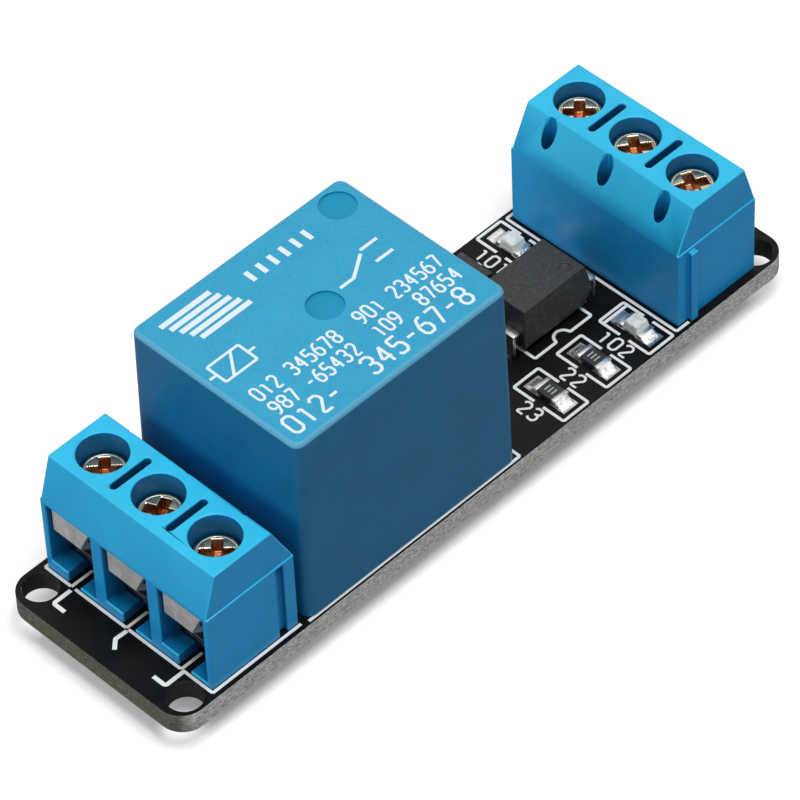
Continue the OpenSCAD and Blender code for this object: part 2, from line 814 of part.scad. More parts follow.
module transistor_body() {
    color("#262628") at_far_chip(1) translate([0, 0, sot_lift])
        block([-sot_w / 2, -sot_l / 2, 0], [sot_w, sot_l, sot_t]);
}
module transistor_leads() {
    foot = 0.45;
    wide = 0.42;
    mid = sot_lift + sot_t / 2;
    color("#bfc2c4") at_far_chip(1) for (p = [[0, 0], [180, 0.95], [180, -0.95]])
        rotate([0, 0, p[0]])
            strip([[sot_w / 2, mid], [sot_w / 2 + 0.2, mid], [sot_w / 2 + 0.2, 0],
                   [sot_w / 2 + 0.2 + foot, 0], [sot_w / 2 + 0.2 + foot, 0.12],
                   [sot_w / 2 + 0.32, 0.12], [sot_w / 2 + 0.32, mid + 0.12],
                   [sot_w / 2, mid + 0.12]], wide, p[1]);
}

module diode_glass() {
    color("#b9785a") at_diode() translate([0, melf_l / 2 - melf_cap, melf_d / 2])
        rotate([90, 0, 0]) cylinder(d = melf_d - 0.1, h = melf_l - 2 * melf_cap);
}
module diode_caps() {
    color("#c8cacc") at_diode() for (y = [melf_l / 2, -melf_l / 2 + melf_cap])
        translate([0, y, melf_d / 2]) rotate([90, 0, 0]) cylinder(d = melf_d, h = melf_cap);
}

// ---------- solder ----------

// The wedge of solder that climbs a chip's end cap.
module wedge(w, h, y, side) {
    translate([w / 2, y, 0]) rotate([0, -90, 0]) linear_extrude(w)
        polygon([[0, 0], [h, 0], [h * 0.35, side * pad_l * 0.4], [0.06, side * pad_l],
                 [0, side * pad_l]]);
}
module chip_wedges(h) {
    wedge(chip_w + 0.1, h, chip_l / 2, 1);
    wedge(chip_w + 0.1, h, -chip_l / 2, -1);
}
module chip_solder() {
    color("#d5d7d9") {
        for (i = [0, 1, 2]) at_near_chip(i) chip_wedges(i == 0 ? light_base_t : chip_t * 0.9);
        for (i = [0, 2]) at_far_chip(i) chip_wedges(i == 0 ? light_base_t : chip_t * 0.9);
        at_diode() {
            wedge(melf_d, melf_d * 0.5, melf_l / 2, 0.7);
            wedge(melf_d, melf_d * 0.5, -melf_l / 2, -0.7);
        }
    }
}

// The solder round one pin: a plug in the hole and a cone underneath.
module joint_solder(d) {
    rotate_extrude() polygon([
        [0, 0], [d / 2, 0], [d / 2, -board_t], [d / 2 + fillet_grow, -board_t],
        [d / 2 + fillet_grow * 0.35, -board_t - fillet_h * 0.35],
        [d / 2 - 0.1, -board_t - fillet_h], [0, -board_t - fillet_h]
    ]);
}
module pin_solder() {
    deep = board_t + fillet_h + 2 * eps;
    color("#d5d7d9") {
        pin_holes() difference() {
            joint_solder(pin_hole_d);
            block([-strip_t / 2, -pin_w / 2, -deep], [strip_t, pin_w, deep + eps]);
        }
        at_relay() {
            for (p = [[com_x, 0], [side_pin_x, row_y], [side_pin_x, -row_y]])
                translate([p[0], p[1], 0]) difference() {
                    joint_solder(relay_hole_d);
                    block([-relay_pin[1] / 2, -relay_pin[0] / 2, -deep],
                          [relay_pin[1], relay_pin[0], deep + eps]);
                }
            for (y = [-row_y, row_y]) translate([coil_pin_x, y, 0]) difference() {
                joint_solder(coil_hole_d);
                translate([0, 0, -deep]) cylinder(r = coil_pin_r, h = deep + eps);
            }
        }
        at_opto() for (x = [-1, 1], y = [-1, 1])
            translate([x * opto_span / 2, y * lead_pitch / 2, 0]) difference() {
                joint_solder(lead_hole_d);
                block([-lead_t / 2, -lead_slim / 2, -deep], [lead_t, lead_slim, deep + eps]);
            }
    }
}

// ---------- assembly ----------

board();
at_near() terminal_block(contact_seat);  // contact_block
at_far() terminal_block(control_seat);  // control_block
for (i = [0 : poles - 1]) {
    n = i + 1;
    at_near() at_pole(i) terminal_contact();
    at_far() at_pole(i) terminal_contact();
    at_near() at_pole(i) terminal_clamp();
    at_far() at_pole(i) terminal_clamp();
    at_near() at_pole(i) terminal_screw(contact_turns[i], contact_seat);
    at_far() at_pole(i) terminal_screw(control_turns[i], control_seat);
}
relay_cover();
relay_base();
relay_seal();
relay_bobbin();
relay_winding();
relay_core();
relay_yoke();
relay_coil_pins();
relay_armature();
relay_blade();
relay_moving_button();
relay_closed_terminal();
relay_closed_button();
relay_open_terminal();
relay_open_button();
optocoupler_body();
optocoupler_leads();
resistor_1();
resistor_2();
resistor_3();
resistor_caps();
light_base_1();
light_base_2();
light_lens_1();
light_lens_2();
light_caps();
transistor_body();
transistor_leads();
diode_glass();
diode_caps();
chip_solder();
pin_solder();
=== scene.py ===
"""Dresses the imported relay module: board, terminal blocks, relay, chip parts and the stage."""

import math

import bmesh
import bpy
import numpy as np
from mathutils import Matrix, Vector


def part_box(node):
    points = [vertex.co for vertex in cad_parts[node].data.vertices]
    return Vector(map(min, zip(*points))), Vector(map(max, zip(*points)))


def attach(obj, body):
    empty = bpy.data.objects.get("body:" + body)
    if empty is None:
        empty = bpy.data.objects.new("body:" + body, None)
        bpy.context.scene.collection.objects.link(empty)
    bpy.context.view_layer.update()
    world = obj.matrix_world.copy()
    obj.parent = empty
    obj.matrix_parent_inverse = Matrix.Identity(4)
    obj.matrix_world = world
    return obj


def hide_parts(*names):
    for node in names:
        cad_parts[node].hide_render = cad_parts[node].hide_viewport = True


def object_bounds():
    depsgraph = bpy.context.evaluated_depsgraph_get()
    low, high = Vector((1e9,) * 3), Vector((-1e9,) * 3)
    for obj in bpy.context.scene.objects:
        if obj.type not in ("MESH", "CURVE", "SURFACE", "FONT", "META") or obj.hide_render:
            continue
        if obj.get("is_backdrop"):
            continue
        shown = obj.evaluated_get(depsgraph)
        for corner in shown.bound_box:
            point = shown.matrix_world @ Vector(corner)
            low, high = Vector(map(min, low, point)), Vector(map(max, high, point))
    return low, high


bl_info = {
    "name": "Relay Module Board",
    "version": (1, 0, 0),
    "blender": (4, 5, 0),
    "location": "View3D > Sidebar > Relay Board",
    "description": "Builds the looks of a single relay module around its frame",
    "category": "Add Mesh",
}

MM = 0.001
MODULE = "module"
BLOCKS = ("contact", "control")
POLES = (1, 2, 3)
SIDES = (-1, 1)
POLE_STEP = 5.08 * MM
OPTO_LEAD_X = 3.81 * MM
OPTO_LEAD_Y = 1.27 * MM

# How far each terminal screw is turned, in degrees.
SCREW_TURNS = {"contact": (45, 25, 47), "control": (43, 53, 65)}

# Each chip with the side of the board that it faces and its plain number in the print.
CHIP_PRINT = (
    ("resistor_3", -1, "23"),
    ("resistor_2", -1, "22"),
    ("light_base_2", -1, "102"),
    ("light_base_1", 1, "101"),
    ("resistor_1", 1, "21"),
)

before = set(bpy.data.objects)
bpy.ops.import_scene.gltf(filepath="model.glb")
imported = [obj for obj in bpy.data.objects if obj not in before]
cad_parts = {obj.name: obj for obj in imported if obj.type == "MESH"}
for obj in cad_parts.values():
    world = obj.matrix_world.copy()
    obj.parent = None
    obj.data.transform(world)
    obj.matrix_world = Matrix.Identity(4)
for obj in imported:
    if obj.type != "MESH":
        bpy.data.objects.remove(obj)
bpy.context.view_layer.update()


# ---------- places on the frame ----------


def low(node):
    """The lowest corner of a node of the frame."""
    return Vector(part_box(node)[0])


def high(node):
    """The highest corner of a node of the frame."""
    return Vector(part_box(node)[1])


def middle(node):
    """The centre of a node's box."""
    return (low(node) + high(node)) / 2


BOARD_TOP = high("board").z
BOARD_UNDER = low("board").z
CONTACT_X = middle("contact_screw_2").x
CONTROL_X = middle("control_screw_2").x
RELAY = middle("relay_cover")
CHIPS = {
    name: middle(name)
    for name in ("resistor_2", "resistor_3", "light_base_2", "resistor_1", "light_base_1")
}


# ---------- sizes and colours ----------


def colour(name, description, value):
    """A colour property in the sidebar."""
    return bpy.props.FloatVectorProperty(
        name=name, description=description, subtype="COLOR", size=3, min=0.0, max=1.0,
        default=value,
    )


def length(name, description, value, largest=0.01):
    """A length property in the sidebar, in metres."""
    return bpy.props.FloatProperty(
        name=name, description=description, unit="LENGTH", precision=5, min=0.0,
        max=largest, default=value,
    )


class RELAYBOARD_PG_board(bpy.types.PropertyGroup):
    """Sizes and colours of the bare board and its print."""

    mask: colour("Mask", "Solder mask over the board", (0.0048, 0.0050, 0.0054))
    fibre: colour("Fibre", "Glass fibre at the cut edges", (0.6, 0.6, 0.58))
    ink: colour("Ink", "Printed lines on the board", (0.78, 0.79, 0.78))
    edge: length("Edge", "Rounding of the board's edges", 0.05 * MM)
    ink_width: length("Ink width", "Width of a printed line", 0.22 * MM)
    symbol_width: length("Symbol width", "Width of the contact symbols", 0.3 * MM)
    ink_rise: length("Ink rise", "Thickness of the ink", 0.032 * MM)
    track_rise: length("Track rise", "Height of a track under the mask", 0.02 * MM)


class RELAYBOARD_PG_terminals(bpy.types.PropertyGroup):
    """Sizes and colours of the terminal blocks."""

    plastic: colour("Plastic", "Tops of the moulded housings", (0.028, 0.5, 0.79))
    # Painted shade: the wall colour darkens upright faces and the well colour darkens the wells
    # and entries, on plastic that is one blue throughout.
    wall: colour("Wall", "Upright walls of the housings", (0.008, 0.36, 0.8))
    well_shade: colour("Well", "Depths of the wells and entries", (0.002, 0.06, 0.17))
    strip: colour("Strip", "Tinned contact strips", (0.86, 0.85, 0.83))
    clamp: colour("Clamp", "Rising clamps", (0.5, 0.5, 0.49))
    screw: colour("Screw", "Yellow plated screws", (0.93, 0.83, 0.62))
    tarnish: colour("Tarnish", "Brown shade in the recesses", (0.36, 0.12, 0.03))
    edge: length("Edge", "Rounding of the housings' edges", 0.11 * MM)


class RELAYBOARD_PG_relay(bpy.types.PropertyGroup):
    """Sizes and colours of the relay."""

    cover: colour("Cover", "Sides of the cover", (0.008, 0.16, 0.35))
    frosted: colour("Frosted top", "Frosted top of the cover", (0.009, 0.325, 0.55))
    ink: colour("Ink", "Print on the cover", (0.72, 0.82, 0.86))
    rounding: length("Rounding", "Rounding round the cover's top", 0.35 * MM)
    text_width: length("Text width", "Line width of the small print", 0.17 * MM)
    ink_rise: length("Ink rise", "Thickness of the ink", 0.012 * MM)


class RELAYBOARD_PG_parts(bpy.types.PropertyGroup):
    """Colours of the small parts and the solder."""

    resin: colour("Resin", "Moulded black bodies", (0.014, 0.0145, 0.015))
    tin: colour("Tin", "Tinned leads and end caps", (0.78, 0.78, 0.78))
    solder: colour("Solder", "Bright solder", (0.84, 0.84, 0.84))
    lens: colour("Lens", "Resin over the chip lights", (0.85, 0.95, 0.9))


class RELAYBOARD_PG_stage(bpy.types.PropertyGroup):
    """The floor, the lamps and the camera."""

    floor: colour("Floor", "Pale floor", (0.98, 0.98, 0.98))
    sky: bpy.props.FloatProperty(
        name="Sky", description="Strength of the even light", default=0.25, min=0.0)
    glint: bpy.props.FloatProperty(
        name="Glint", description="Strength of the sky in reflections", default=0.9, min=0.0)
    key: bpy.props.FloatProperty(
        name="Key", description="Power of the lamp overhead", default=1.85, min=0.0)
    side: bpy.props.FloatProperty(
        name="Side", description="Power of the lamp beside the module", default=0.42, min=0.0)
    lens: bpy.props.FloatProperty(
        name="Lens", description="Focal length", default=241.1, min=10.0, unit="CAMERA")
    place: bpy.props.FloatVectorProperty(
        name="Place", description="Where the camera stands", subtype="TRANSLATION", size=3,
        default=(-0.16397, -0.17378, 0.2574))
    turn: bpy.props.FloatVectorProperty(
        name="Turn", description="How the camera is turned", subtype="EULER", size=3,
        default=(math.radians(43.174), math.radians(2.002), math.radians(-45.37)))


# ---------- node materials ----------


class Paint:
    """A node material in the making: patterns read the piece's own coordinates."""

    def __init__(self, name, colour=(0.5, 0.5, 0.5), rough=0.5, metal=0.0, **sockets):
        self.material = bpy.data.materials.new(name)
        self.material.use_nodes = True
        self.nodes = self.material.node_tree.nodes
        self.links = self.material.node_tree.links
        self.surface = self.nodes["Principled BSDF"]
        self.set("Base Color", (*colour, 1.0))
        self.set("Roughness", rough)
        self.set("Metallic", metal)
        for socket, value in sockets.items():
            self.set(socket.replace("_", " "), value)
        self.places = self.nodes.new("ShaderNodeTexCoord").outputs["Object"]
        self.material.diffuse_color = (*colour, 1.0)

    def set(self, socket, value):
        self.surface.inputs[socket].default_value = value

    def add(self, kind, **values):
        node = self.nodes.new(kind)
        for key, value in values.items():
            setattr(node, key, value)
        return node

    def join(self, source, target):
        self.links.new(source, target)
        return target

    def stretched(self, scale):
        """Coordinates squeezed by a factor along each axis."""
        mapping = self.add("ShaderNodeMapping")
        mapping.inputs["Scale"].default_value = scale
        self.join(self.places, mapping.inputs["Vector"])
        return mapping.outputs["Vector"]

    def noise(self, size, detail=3.0, rough=0.5, places=None):
        """Soft noise whose features are about size metres across."""
        node = self.add("ShaderNodeTexNoise")
        node.inputs["Scale"].default_value = 1.0 / size
        node.inputs["Detail"].default_value = detail
        node.inputs["Roughness"].default_value = rough
        self.join(places or self.places, node.inputs["Vector"])
        return node.outputs["Fac"]

    def cells(self, size, places=None):
        """Cell noise, for specks and grains."""
        node = self.add("ShaderNodeTexVoronoi")
        node.inputs["Scale"].default_value = 1.0 / size
        self.join(places or self.places, node.inputs["Vector"])
        return node.outputs["Distance"]

    def bands(self, direction, size, distortion):
        """Wavy bands along an axis, a size in metres apart."""
        node = self.add("ShaderNodeTexWave", wave_type="BANDS", bands_direction=direction)
        node.inputs["Scale"].default_value = 1.0 / size
        node.inputs["Distortion"].default_value = distortion
        self.join(self.places, node.inputs["Vector"])
        return node.outputs["Fac"]

    def facing(self, axis):
        """How far the surface faces along an axis, from -1 to 1."""
        split = self.add("ShaderNodeSeparateXYZ")
        shape = self.add("ShaderNodeNewGeometry")
        self.join(shape.outputs["Normal"], split.inputs["Vector"])
        return split.outputs[axis]

    def ramp(self, factor, *stops):
        """Values or colours laid over a factor, as (position, value) or (position, colour)."""
        node = self.add("ShaderNodeValToRGB")
        band = node.color_ramp
        while len(band.elements) < len(stops):
            band.elements.new(1.0)
        for element, (place, value) in zip(band.elements, stops):
            element.position = place
            shade = value if isinstance(value, tuple) else (value, value, value)
            element.color = (*shade, 1.0)
        self.join(factor, node.inputs["Fac"])
        return node.outputs["Color"]

    def blend(self, factor, first, second, mode="MIX"):
        """A mix of two colours or colour sockets."""
        node = self.add("ShaderNodeMix", data_type="RGBA", blend_type=mode)
        # A mix node's colours come after its sockets for numbers and vectors.
        factor_in, first_in, second_in = (node.inputs[i] for i in (0, 6, 7))
        for value, socket in ((factor, factor_in), (first, first_in), (second, second_in)):
            if isinstance(value, (int, float)):
                socket.default_value = value
            elif isinstance(value, tuple):
                socket.default_value = (*value, 1.0)
            else:
                self.join(value, socket)
        return node.outputs[2]

    def height(self, *layers):
        """Bumps stacked on each other, each a (pattern, depth in metres) pair."""
        normal = None
        for pattern, depth in layers:
            node = self.add("ShaderNodeBump")
            node.inputs["Distance"].default_value = depth
            self.join(pattern, node.inputs["Height"])
            if normal:
                self.join(normal, node.inputs["Normal"])
            normal = node.outputs["Normal"]
        self.join(normal, self.surface.inputs["Normal"])

    def facing_up(self, start, end):
        """How far the surface faces up, from 0 at start to 1 at end."""
        spread = self.add("ShaderNodeMapRange")
        spread.inputs["From Min"].default_value = start
        spread.inputs["From Max"].default_value = end
        self.join(self.facing("Z"), spread.inputs["Value"])
        return spread.outputs["Result"]

    def occlusion_shade(self, reach, power=1.0):
        """How open the surface lies, from ambient occlusion: 1 in the open, less in wells and
        corners; it sets where shade is painted into a colour.
        """
        node = self.add("ShaderNodeAmbientOcclusion", samples=6)
        node.inputs["Distance"].default_value = reach
        curve = self.add("ShaderNodeMath", operation="POWER")
        curve.inputs[1].default_value = power
        self.join(node.outputs["AO"], curve.inputs[0])
        return curve.outputs[0]

    def colour_by(self, source):
        """Sends a pattern to the surface's colour."""
        self.join(source, self.surface.inputs["Base Color"])

    def rough_by(self, source):
        """Sends a pattern to the surface's roughness."""
        self.join(source, self.surface.inputs["Roughness"])


def shade(colour, factor):
    """A colour made darker or lighter."""
    return tuple(min(1.0, c * factor) for c in colour)


def moulded_plastic(name, colour, rough=0.4, grain=0.004 * MM, **sockets):
    """Injection moulded plastic: faint flow marks, fine grain and a few rubbed spots."""
    paint = Paint(name, colour, rough, Specular_IOR_Level=0.3, **sockets)
    cloud = paint.noise(3.5 * MM, 4.0)
    base = paint.blend(paint.ramp(cloud, (0.3, 0.0), (0.7, 1.0)),
                       shade(colour, 0.93), shade(colour, 1.05))
    rubs = paint.ramp(paint.noise(0.5 * MM, 6.0, 0.7), (0.66, 0.0), (0.8, 0.35))
    pale = tuple(c * 0.7 + 0.2 for c in colour)
    paint.colour_by(paint.blend(rubs, base, pale))
    gloss = paint.ramp(paint.noise(0.9 * MM, 5.0), (0.25, rough - 0.07), (0.75, rough + 0.1))
    paint.rough_by(gloss)
    paint.height((paint.noise(0.06 * MM, 2.0), grain), (paint.noise(2.2 * MM, 2.0), 0.012 * MM))
    return paint.material


def terminal_plastic(name, look, inner=False):
    """Sky blue moulded plastic with painted shade: deeper blue on upright walls, darker in corners
    and down in the wells.
    """
    bright, wall, deep = tuple(look.plastic), tuple(look.wall), tuple(look.well_shade)
    paint = Paint(name, wall if inner else bright, 0.36,
                  Specular_IOR_Level=0.15 if inner else 0.35)
    cloud = paint.ramp(paint.noise(3.5 * MM, 4.0), (0.3, 0.0), (0.7, 1.0))
    if inner:
        # Painted shade: closed-in places in the wells darken towards the well colour.
        base = paint.blend(paint.occlusion_shade(3.0 * MM, 1.6), deep, shade(wall, 0.85))
    else:
        # Painted shade: upright faces take the darker wall colour and closed-in corners darken to
        # half of it.
        upright = paint.blend(paint.facing_up(0.0, 0.5), wall, bright)
        base = paint.blend(paint.occlusion_shade(1.0 * MM, 0.8), shade(wall, 0.5), upright)
    tone = paint.blend(cloud, (0.93, 0.94, 0.95), (1.06, 1.05, 1.04))
    mixed = paint.blend(1.0, base, tone, "MULTIPLY")
    rubs = paint.ramp(paint.noise(0.45 * MM, 6.0, 0.7), (0.66, 0.0), (0.8, 0.3))
    paint.colour_by(paint.blend(rubs, mixed, (0.2, 0.55, 0.75)))
    paint.rough_by(paint.ramp(paint.noise(0.9 * MM, 5.0), (0.25, 0.3), (0.75, 0.46)))
    grain, waves = paint.noise(0.06 * MM, 2.0), paint.noise(2.2 * MM, 2.0)
    paint.height((grain, 0.004 * MM), (waves, 0.012 * MM))
    return paint.material


def solder_mask(look):
    """Glossy black mask with the weave of the fibre just showing."""
    paint = Paint("solder_mask", tuple(look.mask), 0.3, Specular_IOR_Level=0.12)
    cloud = paint.noise(4.0 * MM, 3.0)
    base = paint.blend(paint.ramp(cloud, (0.35, 0.0), (0.7, 1.0)),
                       shade(look.mask, 0.75), shade(look.mask, 1.5))
    specks = paint.ramp(paint.noise(0.12 * MM, 4.0, 0.8), (0.7, 0.0), (0.78, 0.5))
    paint.colour_by(paint.blend(specks, base, (0.05, 0.052, 0.055)))
    paint.rough_by(paint.ramp(paint.noise(1.3 * MM, 5.0), (0.3, 0.22), (0.75, 0.42)))
    weave = paint.bands("X", 2.6 * MM, 1.5)
    paint.height((weave, 0.002 * MM), (paint.noise(0.25 * MM, 3.0), 0.004 * MM))
    return paint.material


def cut_fibre(look):
    """Cut glass fibre: grey and speckled along the sides, darker and browner at the ends."""
    colour = tuple(look.fibre)
    paint = Paint("cut_fibre", colour, 0.8, Specular_IOR_Level=0.3)
    layers = paint.noise(0.12 * MM, 5.0, 0.7, paint.stretched((0.4, 0.4, 1.0)))
    tone = paint.ramp(layers, (0.36, shade(colour, 0.5)), (0.5, colour),
                      (0.64, shade(colour, 1.45)))
    flecks = paint.ramp(paint.noise(0.11 * MM, 6.0, 0.85), (0.54, 0.0), (0.66, 0.85))
    side = paint.blend(flecks, tone, shade(colour, 0.16))
    across = paint.add("ShaderNodeMath", operation="ABSOLUTE")
    paint.join(paint.facing("X"), across.inputs[0])
    end = paint.ramp(across.outputs[0], (0.35, 0.0), (0.8, 1.0))
    dark = paint.blend(1.0, side, (0.22, 0.215, 0.18), "MULTIPLY")
    paint.colour_by(paint.blend(end, side, dark))
    paint.height((layers, 0.02 * MM), (paint.noise(0.07 * MM, 3.0), 0.015 * MM))
    return paint.material


def drilled_fibre(look):
    """Dark drilled walls of the holes, with a few pale threads."""
    colour = tuple(look.mask)
    paint = Paint("drilled_fibre", colour, 0.5)
    threads = paint.noise(0.1 * MM, 4.0, 0.7, paint.stretched((0.3, 0.3, 1.0)))
    paint.colour_by(paint.ramp(threads, (0.45, shade(colour, 1.2)), (0.62, shade(colour, 4.0)),
                               (0.8, shade(look.fibre, 0.5))))
    paint.height((threads, 0.02 * MM))
    return paint.material


def screen_ink(name, colour, rough=0.6, wear=0.62):
    """Printed ink, thin in places."""
    colour = tuple(colour)
    paint = Paint(name, colour, rough)
    thin = paint.ramp(paint.noise(0.16 * MM, 5.0, 0.7), (wear, 0.0), (wear + 0.16, 0.5))
    paint.colour_by(paint.blend(thin, colour, shade(colour, 0.5)))
    paint.height((paint.noise(0.05 * MM, 3.0), 0.003 * MM))
    return paint.material


def plated_metal(name, colour, rough=0.3, scratch=(1.0, 0.08, 1.0), stain=None, cover=0.55,
                 metal=1.0):
    """Plated sheet or turned metal with fine drawn lines, dull patches and stains."""
    colour = tuple(colour)
    paint = Paint(name, colour, rough, metal)
    lines = paint.noise(0.05 * MM, 5.0, 0.7, paint.stretched(scratch))
    base = paint.blend(paint.ramp(lines, (0.3, 0.0), (0.7, 1.0)),
                       shade(colour, 0.72), shade(colour, 1.15))
    patch = paint.ramp(paint.noise(0.9 * MM, 5.0, 0.65), (cover - 0.1, 0.0), (cover + 0.12, 1.0))
    stained = paint.blend(patch, base, tuple(stain) if stain else shade(colour, 0.55))
    paint.colour_by(stained)
    paint.rough_by(paint.ramp(lines, (0.3, rough - 0.08), (0.75, rough + 0.16)))
    paint.height((lines, 0.004 * MM), (paint.noise(0.4 * MM, 3.0), 0.01 * MM))
    return paint.material


def bright_solder(name, colour):
    """Solder that froze bright, with soft ripples and a few grey islands."""
    colour = tuple(colour)
    paint = Paint(name, colour, 0.22, 1.0)
    islands = paint.ramp(paint.noise(0.35 * MM, 5.0, 0.6), (0.45, 0.0), (0.65, 1.0))
    paint.colour_by(paint.blend(islands, shade(colour, 1.2), shade(colour, 0.62)))
    paint.rough_by(paint.ramp(islands, (0.0, 0.24), (1.0, 0.5)))
    paint.height((paint.noise(0.22 * MM, 3.0), 0.05 * MM))
    return paint.material


def moulded_resin(name, colour, rough=0.55):
    """Filled black resin: fine pits, dusty grey scuffs on top."""
    colour = tuple(colour)
    paint = Paint(name, colour, rough)
    dust = paint.ramp(paint.noise(0.28 * MM, 6.0, 0.75), (0.5, 0.0), (0.8, 0.6))
    dusty = paint.blend(dust, colour, (0.12, 0.125, 0.125))
    streaks = paint.noise(0.09 * MM, 4.0, 0.6, paint.stretched((0.16, 1.0, 0.5)))
    scuffs = paint.ramp(streaks, (0.66, 0.0), (0.74, 0.5))
    paint.colour_by(paint.blend(scuffs, dusty, (0.3, 0.31, 0.31)))
    paint.height((paint.cells(0.07 * MM), 0.008 * MM), (paint.noise(0.5 * MM, 3.0), 0.01 * MM))
    return paint.material


# ---------- making pieces ----------


def look(context, part):
    """The settings of one group of pieces."""
    return getattr(context.scene, "relay_board_" + part)


def placed(name, data):
    """A new object in the scene that shows a mesh, a lamp or the camera."""
    item = bpy.data.objects.new(name, data)
    bpy.context.scene.collection.objects.link(item)
    return item


def add_mesh(name, points, faces, materials):
    """An object at the origin from points in metres and faces."""
    mesh = bpy.data.meshes.new(name)
    mesh.from_pydata([tuple(p) for p in points], [], faces)
    mesh.validate()
    for material in materials:
        mesh.materials.append(material)
    return placed(name, mesh)


def smooth(mesh, sharp):
    """Smooth shading, broken where faces meet at more than this many degrees."""
    mesh.shade_smooth()
    mesh.set_sharp_from_angle(angle=math.radians(sharp))


def baked(piece):
    """Turns a piece with modifiers into a plain mesh."""
    bpy.context.view_layer.update()
    graph = bpy.context.evaluated_depsgraph_get()
    mesh = bpy.data.meshes.new_from_object(piece.evaluated_get(graph))
    piece.modifiers.clear()
    piece.data = mesh
    mesh.name = piece.name
    return piece


def welded(node):
    """A node's mesh as one joined surface whose flat faces are whole."""
    same_place, same_plane = 0.002 * MM, math.radians(0.8)
    form = bmesh.new()
    form.from_mesh(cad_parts[node].data)
    bmesh.ops.remove_doubles(form, verts=form.verts, dist=same_place)
    bmesh.ops.dissolve_limit(form, angle_limit=same_plane, verts=form.verts, edges=form.edges)
    form.verts.index_update()
    points = [v.co.copy() for v in form.verts]
    faces = [[v.index for v in f.verts] for f in form.faces]
    form.free()
    return points, faces


def chains(edges):
    """The run that each edge belongs to, where edges follow smoothly, and the runs that touch."""
    group = list(range(len(edges)))
    straight_on = -0.8

    def root(i):
        while group[i] != i:
            group[i] = group[group[i]]
            i = group[i]
        return i

    at_point = {}
    for i, edge in enumerate(edges):
        for v in edge.verts:
            at_point.setdefault(v.index, []).append(i)
    touching = set()
    for point, around in at_point.items():
        for a in around:
            for b in around:
                if a >= b:
                    continue
                ea, eb = edges[a], edges[b]
                pa = next(v for v in ea.verts if v.index == point)
                da = (ea.other_vert(pa).co - pa.co).normalized()
                db = (eb.other_vert(pa).co - pa.co).normalized()
                if da.dot(db) < straight_on:
                    group[root(a)] = root(b)
    for point, around in at_point.items():
        for a in around:
            for b in around:
                touching.add((root(a), root(b)))
    return [root(i) for i in range(len(edges))], touching


def soften(piece, width, segments=2, sharp=35.0):
    """Rounds the sharp edges of a piece, less where they lie close together."""
    form = bmesh.new()
    form.from_mesh(piece.data)
    form.verts.index_update()
    weights = form.edges.layers.float.new("bevel_weight_edge")
    limit = math.radians(sharp)
    share = 0.42  # the most of the room to the next edge that a rounding takes
    edges = [e for e in form.edges if len(e.link_faces) == 2 and e.calc_face_angle(0) > limit]
    if edges:
        runs, touching = chains(edges)
        ends = np.array([[tuple(v.co) for v in e.verts] for e in edges])
        samples = np.stack([ends[:, 0] * (1 - t) + ends[:, 1] * t for t in (0.15, 0.5, 0.85)], 1)
        spans = np.linalg.norm(ends[:, 1] - ends[:, 0], axis=1)
        run_length = {}
        for i, run in enumerate(runs):
            run_length[run] = run_length.get(run, 0.0) + spans[i]
        for i, edge in enumerate(edges):
            others = [j for j in range(len(edges)) if (runs[i], runs[j]) not in touching]
            room = width
            if others:
                a, b = ends[others, 0], ends[others, 1]
                along = b - a
                size = np.maximum((along ** 2).sum(1), 1e-18)
                for point in samples[i]:
                    t = np.clip(((point - a) * along).sum(1) / size, 0, 1)[:, None]
                    gap = np.linalg.norm(point - (a + along * t), axis=1).min()
                    room = min(room, gap * share)
            room = min(room, run_length[runs[i]] * share)
            edge[weights] = max(0.0, min(1.0, room / width))
    form.to_mesh(piece.data)
    form.free()
    piece.data.shade_smooth()
    bevel = piece.modifiers.new("Rounded edges", "BEVEL")
    bevel.width = width
    bevel.segments = segments
    bevel.limit_method = "WEIGHT"
    bevel.use_clamp_overlap = False
    bevel.harden_normals = False
    baked(piece)
    smooth(piece.data, 32)
    even = piece.modifiers.new("Flat faces stay flat", "WEIGHTED_NORMAL")
    even.keep_sharp = True
    even.weight = 80
    return baked(piece)


def stands_for(piece, body, slot, *nodes):
    """The piece moves with a body and hides the nodes it stands for; its slot is not used."""
    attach(piece, body)
    if nodes:
        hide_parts(*nodes)
    return piece


def rounded_copy(node, name, material, width, body, slot, segments=2, sharp=35.0):
    """A node with rounded edges and a finish, standing for it."""
    points, faces = welded(node)
    piece = add_mesh(name, points, faces, [material])
    soften(piece, width, segments, sharp)
    return stands_for(piece, body, slot, node)


def finish_node(node, material):
    """Gives a node that keeps its own shape its material."""
    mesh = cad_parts[node].data
    mesh.materials.clear()
    mesh.materials.append(material)


# ---------- node trees ----------


def new_tree(name, *inputs):
    """A geometry tree with named inputs and one output."""
    tree = bpy.data.node_groups.new(name, "GeometryNodeTree")
    tree.interface.new_socket("Geometry", in_out="INPUT", socket_type="NodeSocketGeometry")
    for label, kind, value in inputs:
        socket = tree.interface.new_socket(label, in_out="INPUT", socket_type=kind)
        if value is not None:
            socket.default_value = value
    tree.interface.new_socket("Geometry", in_out="OUTPUT", socket_type="NodeSocketGeometry")
    return tree, tree.nodes.new("NodeGroupInput"), tree.nodes.new("NodeGroupOutput")


def run_tree(piece, tree, **values):
    """Runs a tree on a piece with these inputs and keeps the result as its mesh."""
    modifier = piece.modifiers.new(tree.name, "NODES")
    modifier.node_group = tree
    for item in tree.interface.items_tree:
        if item.in_out == "INPUT" and item.name in values:
            modifier[item.identifier] = values[item.name]
    return baked(piece)


def finish_tree(tree, start, end, shape):
    """Ends a tree: its copies become real and take the material."""
    real = tree.nodes.new("GeometryNodeRealizeInstances")
    tree.links.new(shape, real.inputs["Geometry"])
    paint = tree.nodes.new("GeometryNodeSetMaterial")
    tree.links.new(real.outputs["Geometry"], paint.inputs["Geometry"])
    tree.links.new(start.outputs["Material"], paint.inputs["Material"])
    tree.links.new(paint.outputs["Geometry"], end.inputs["Geometry"])
    return tree


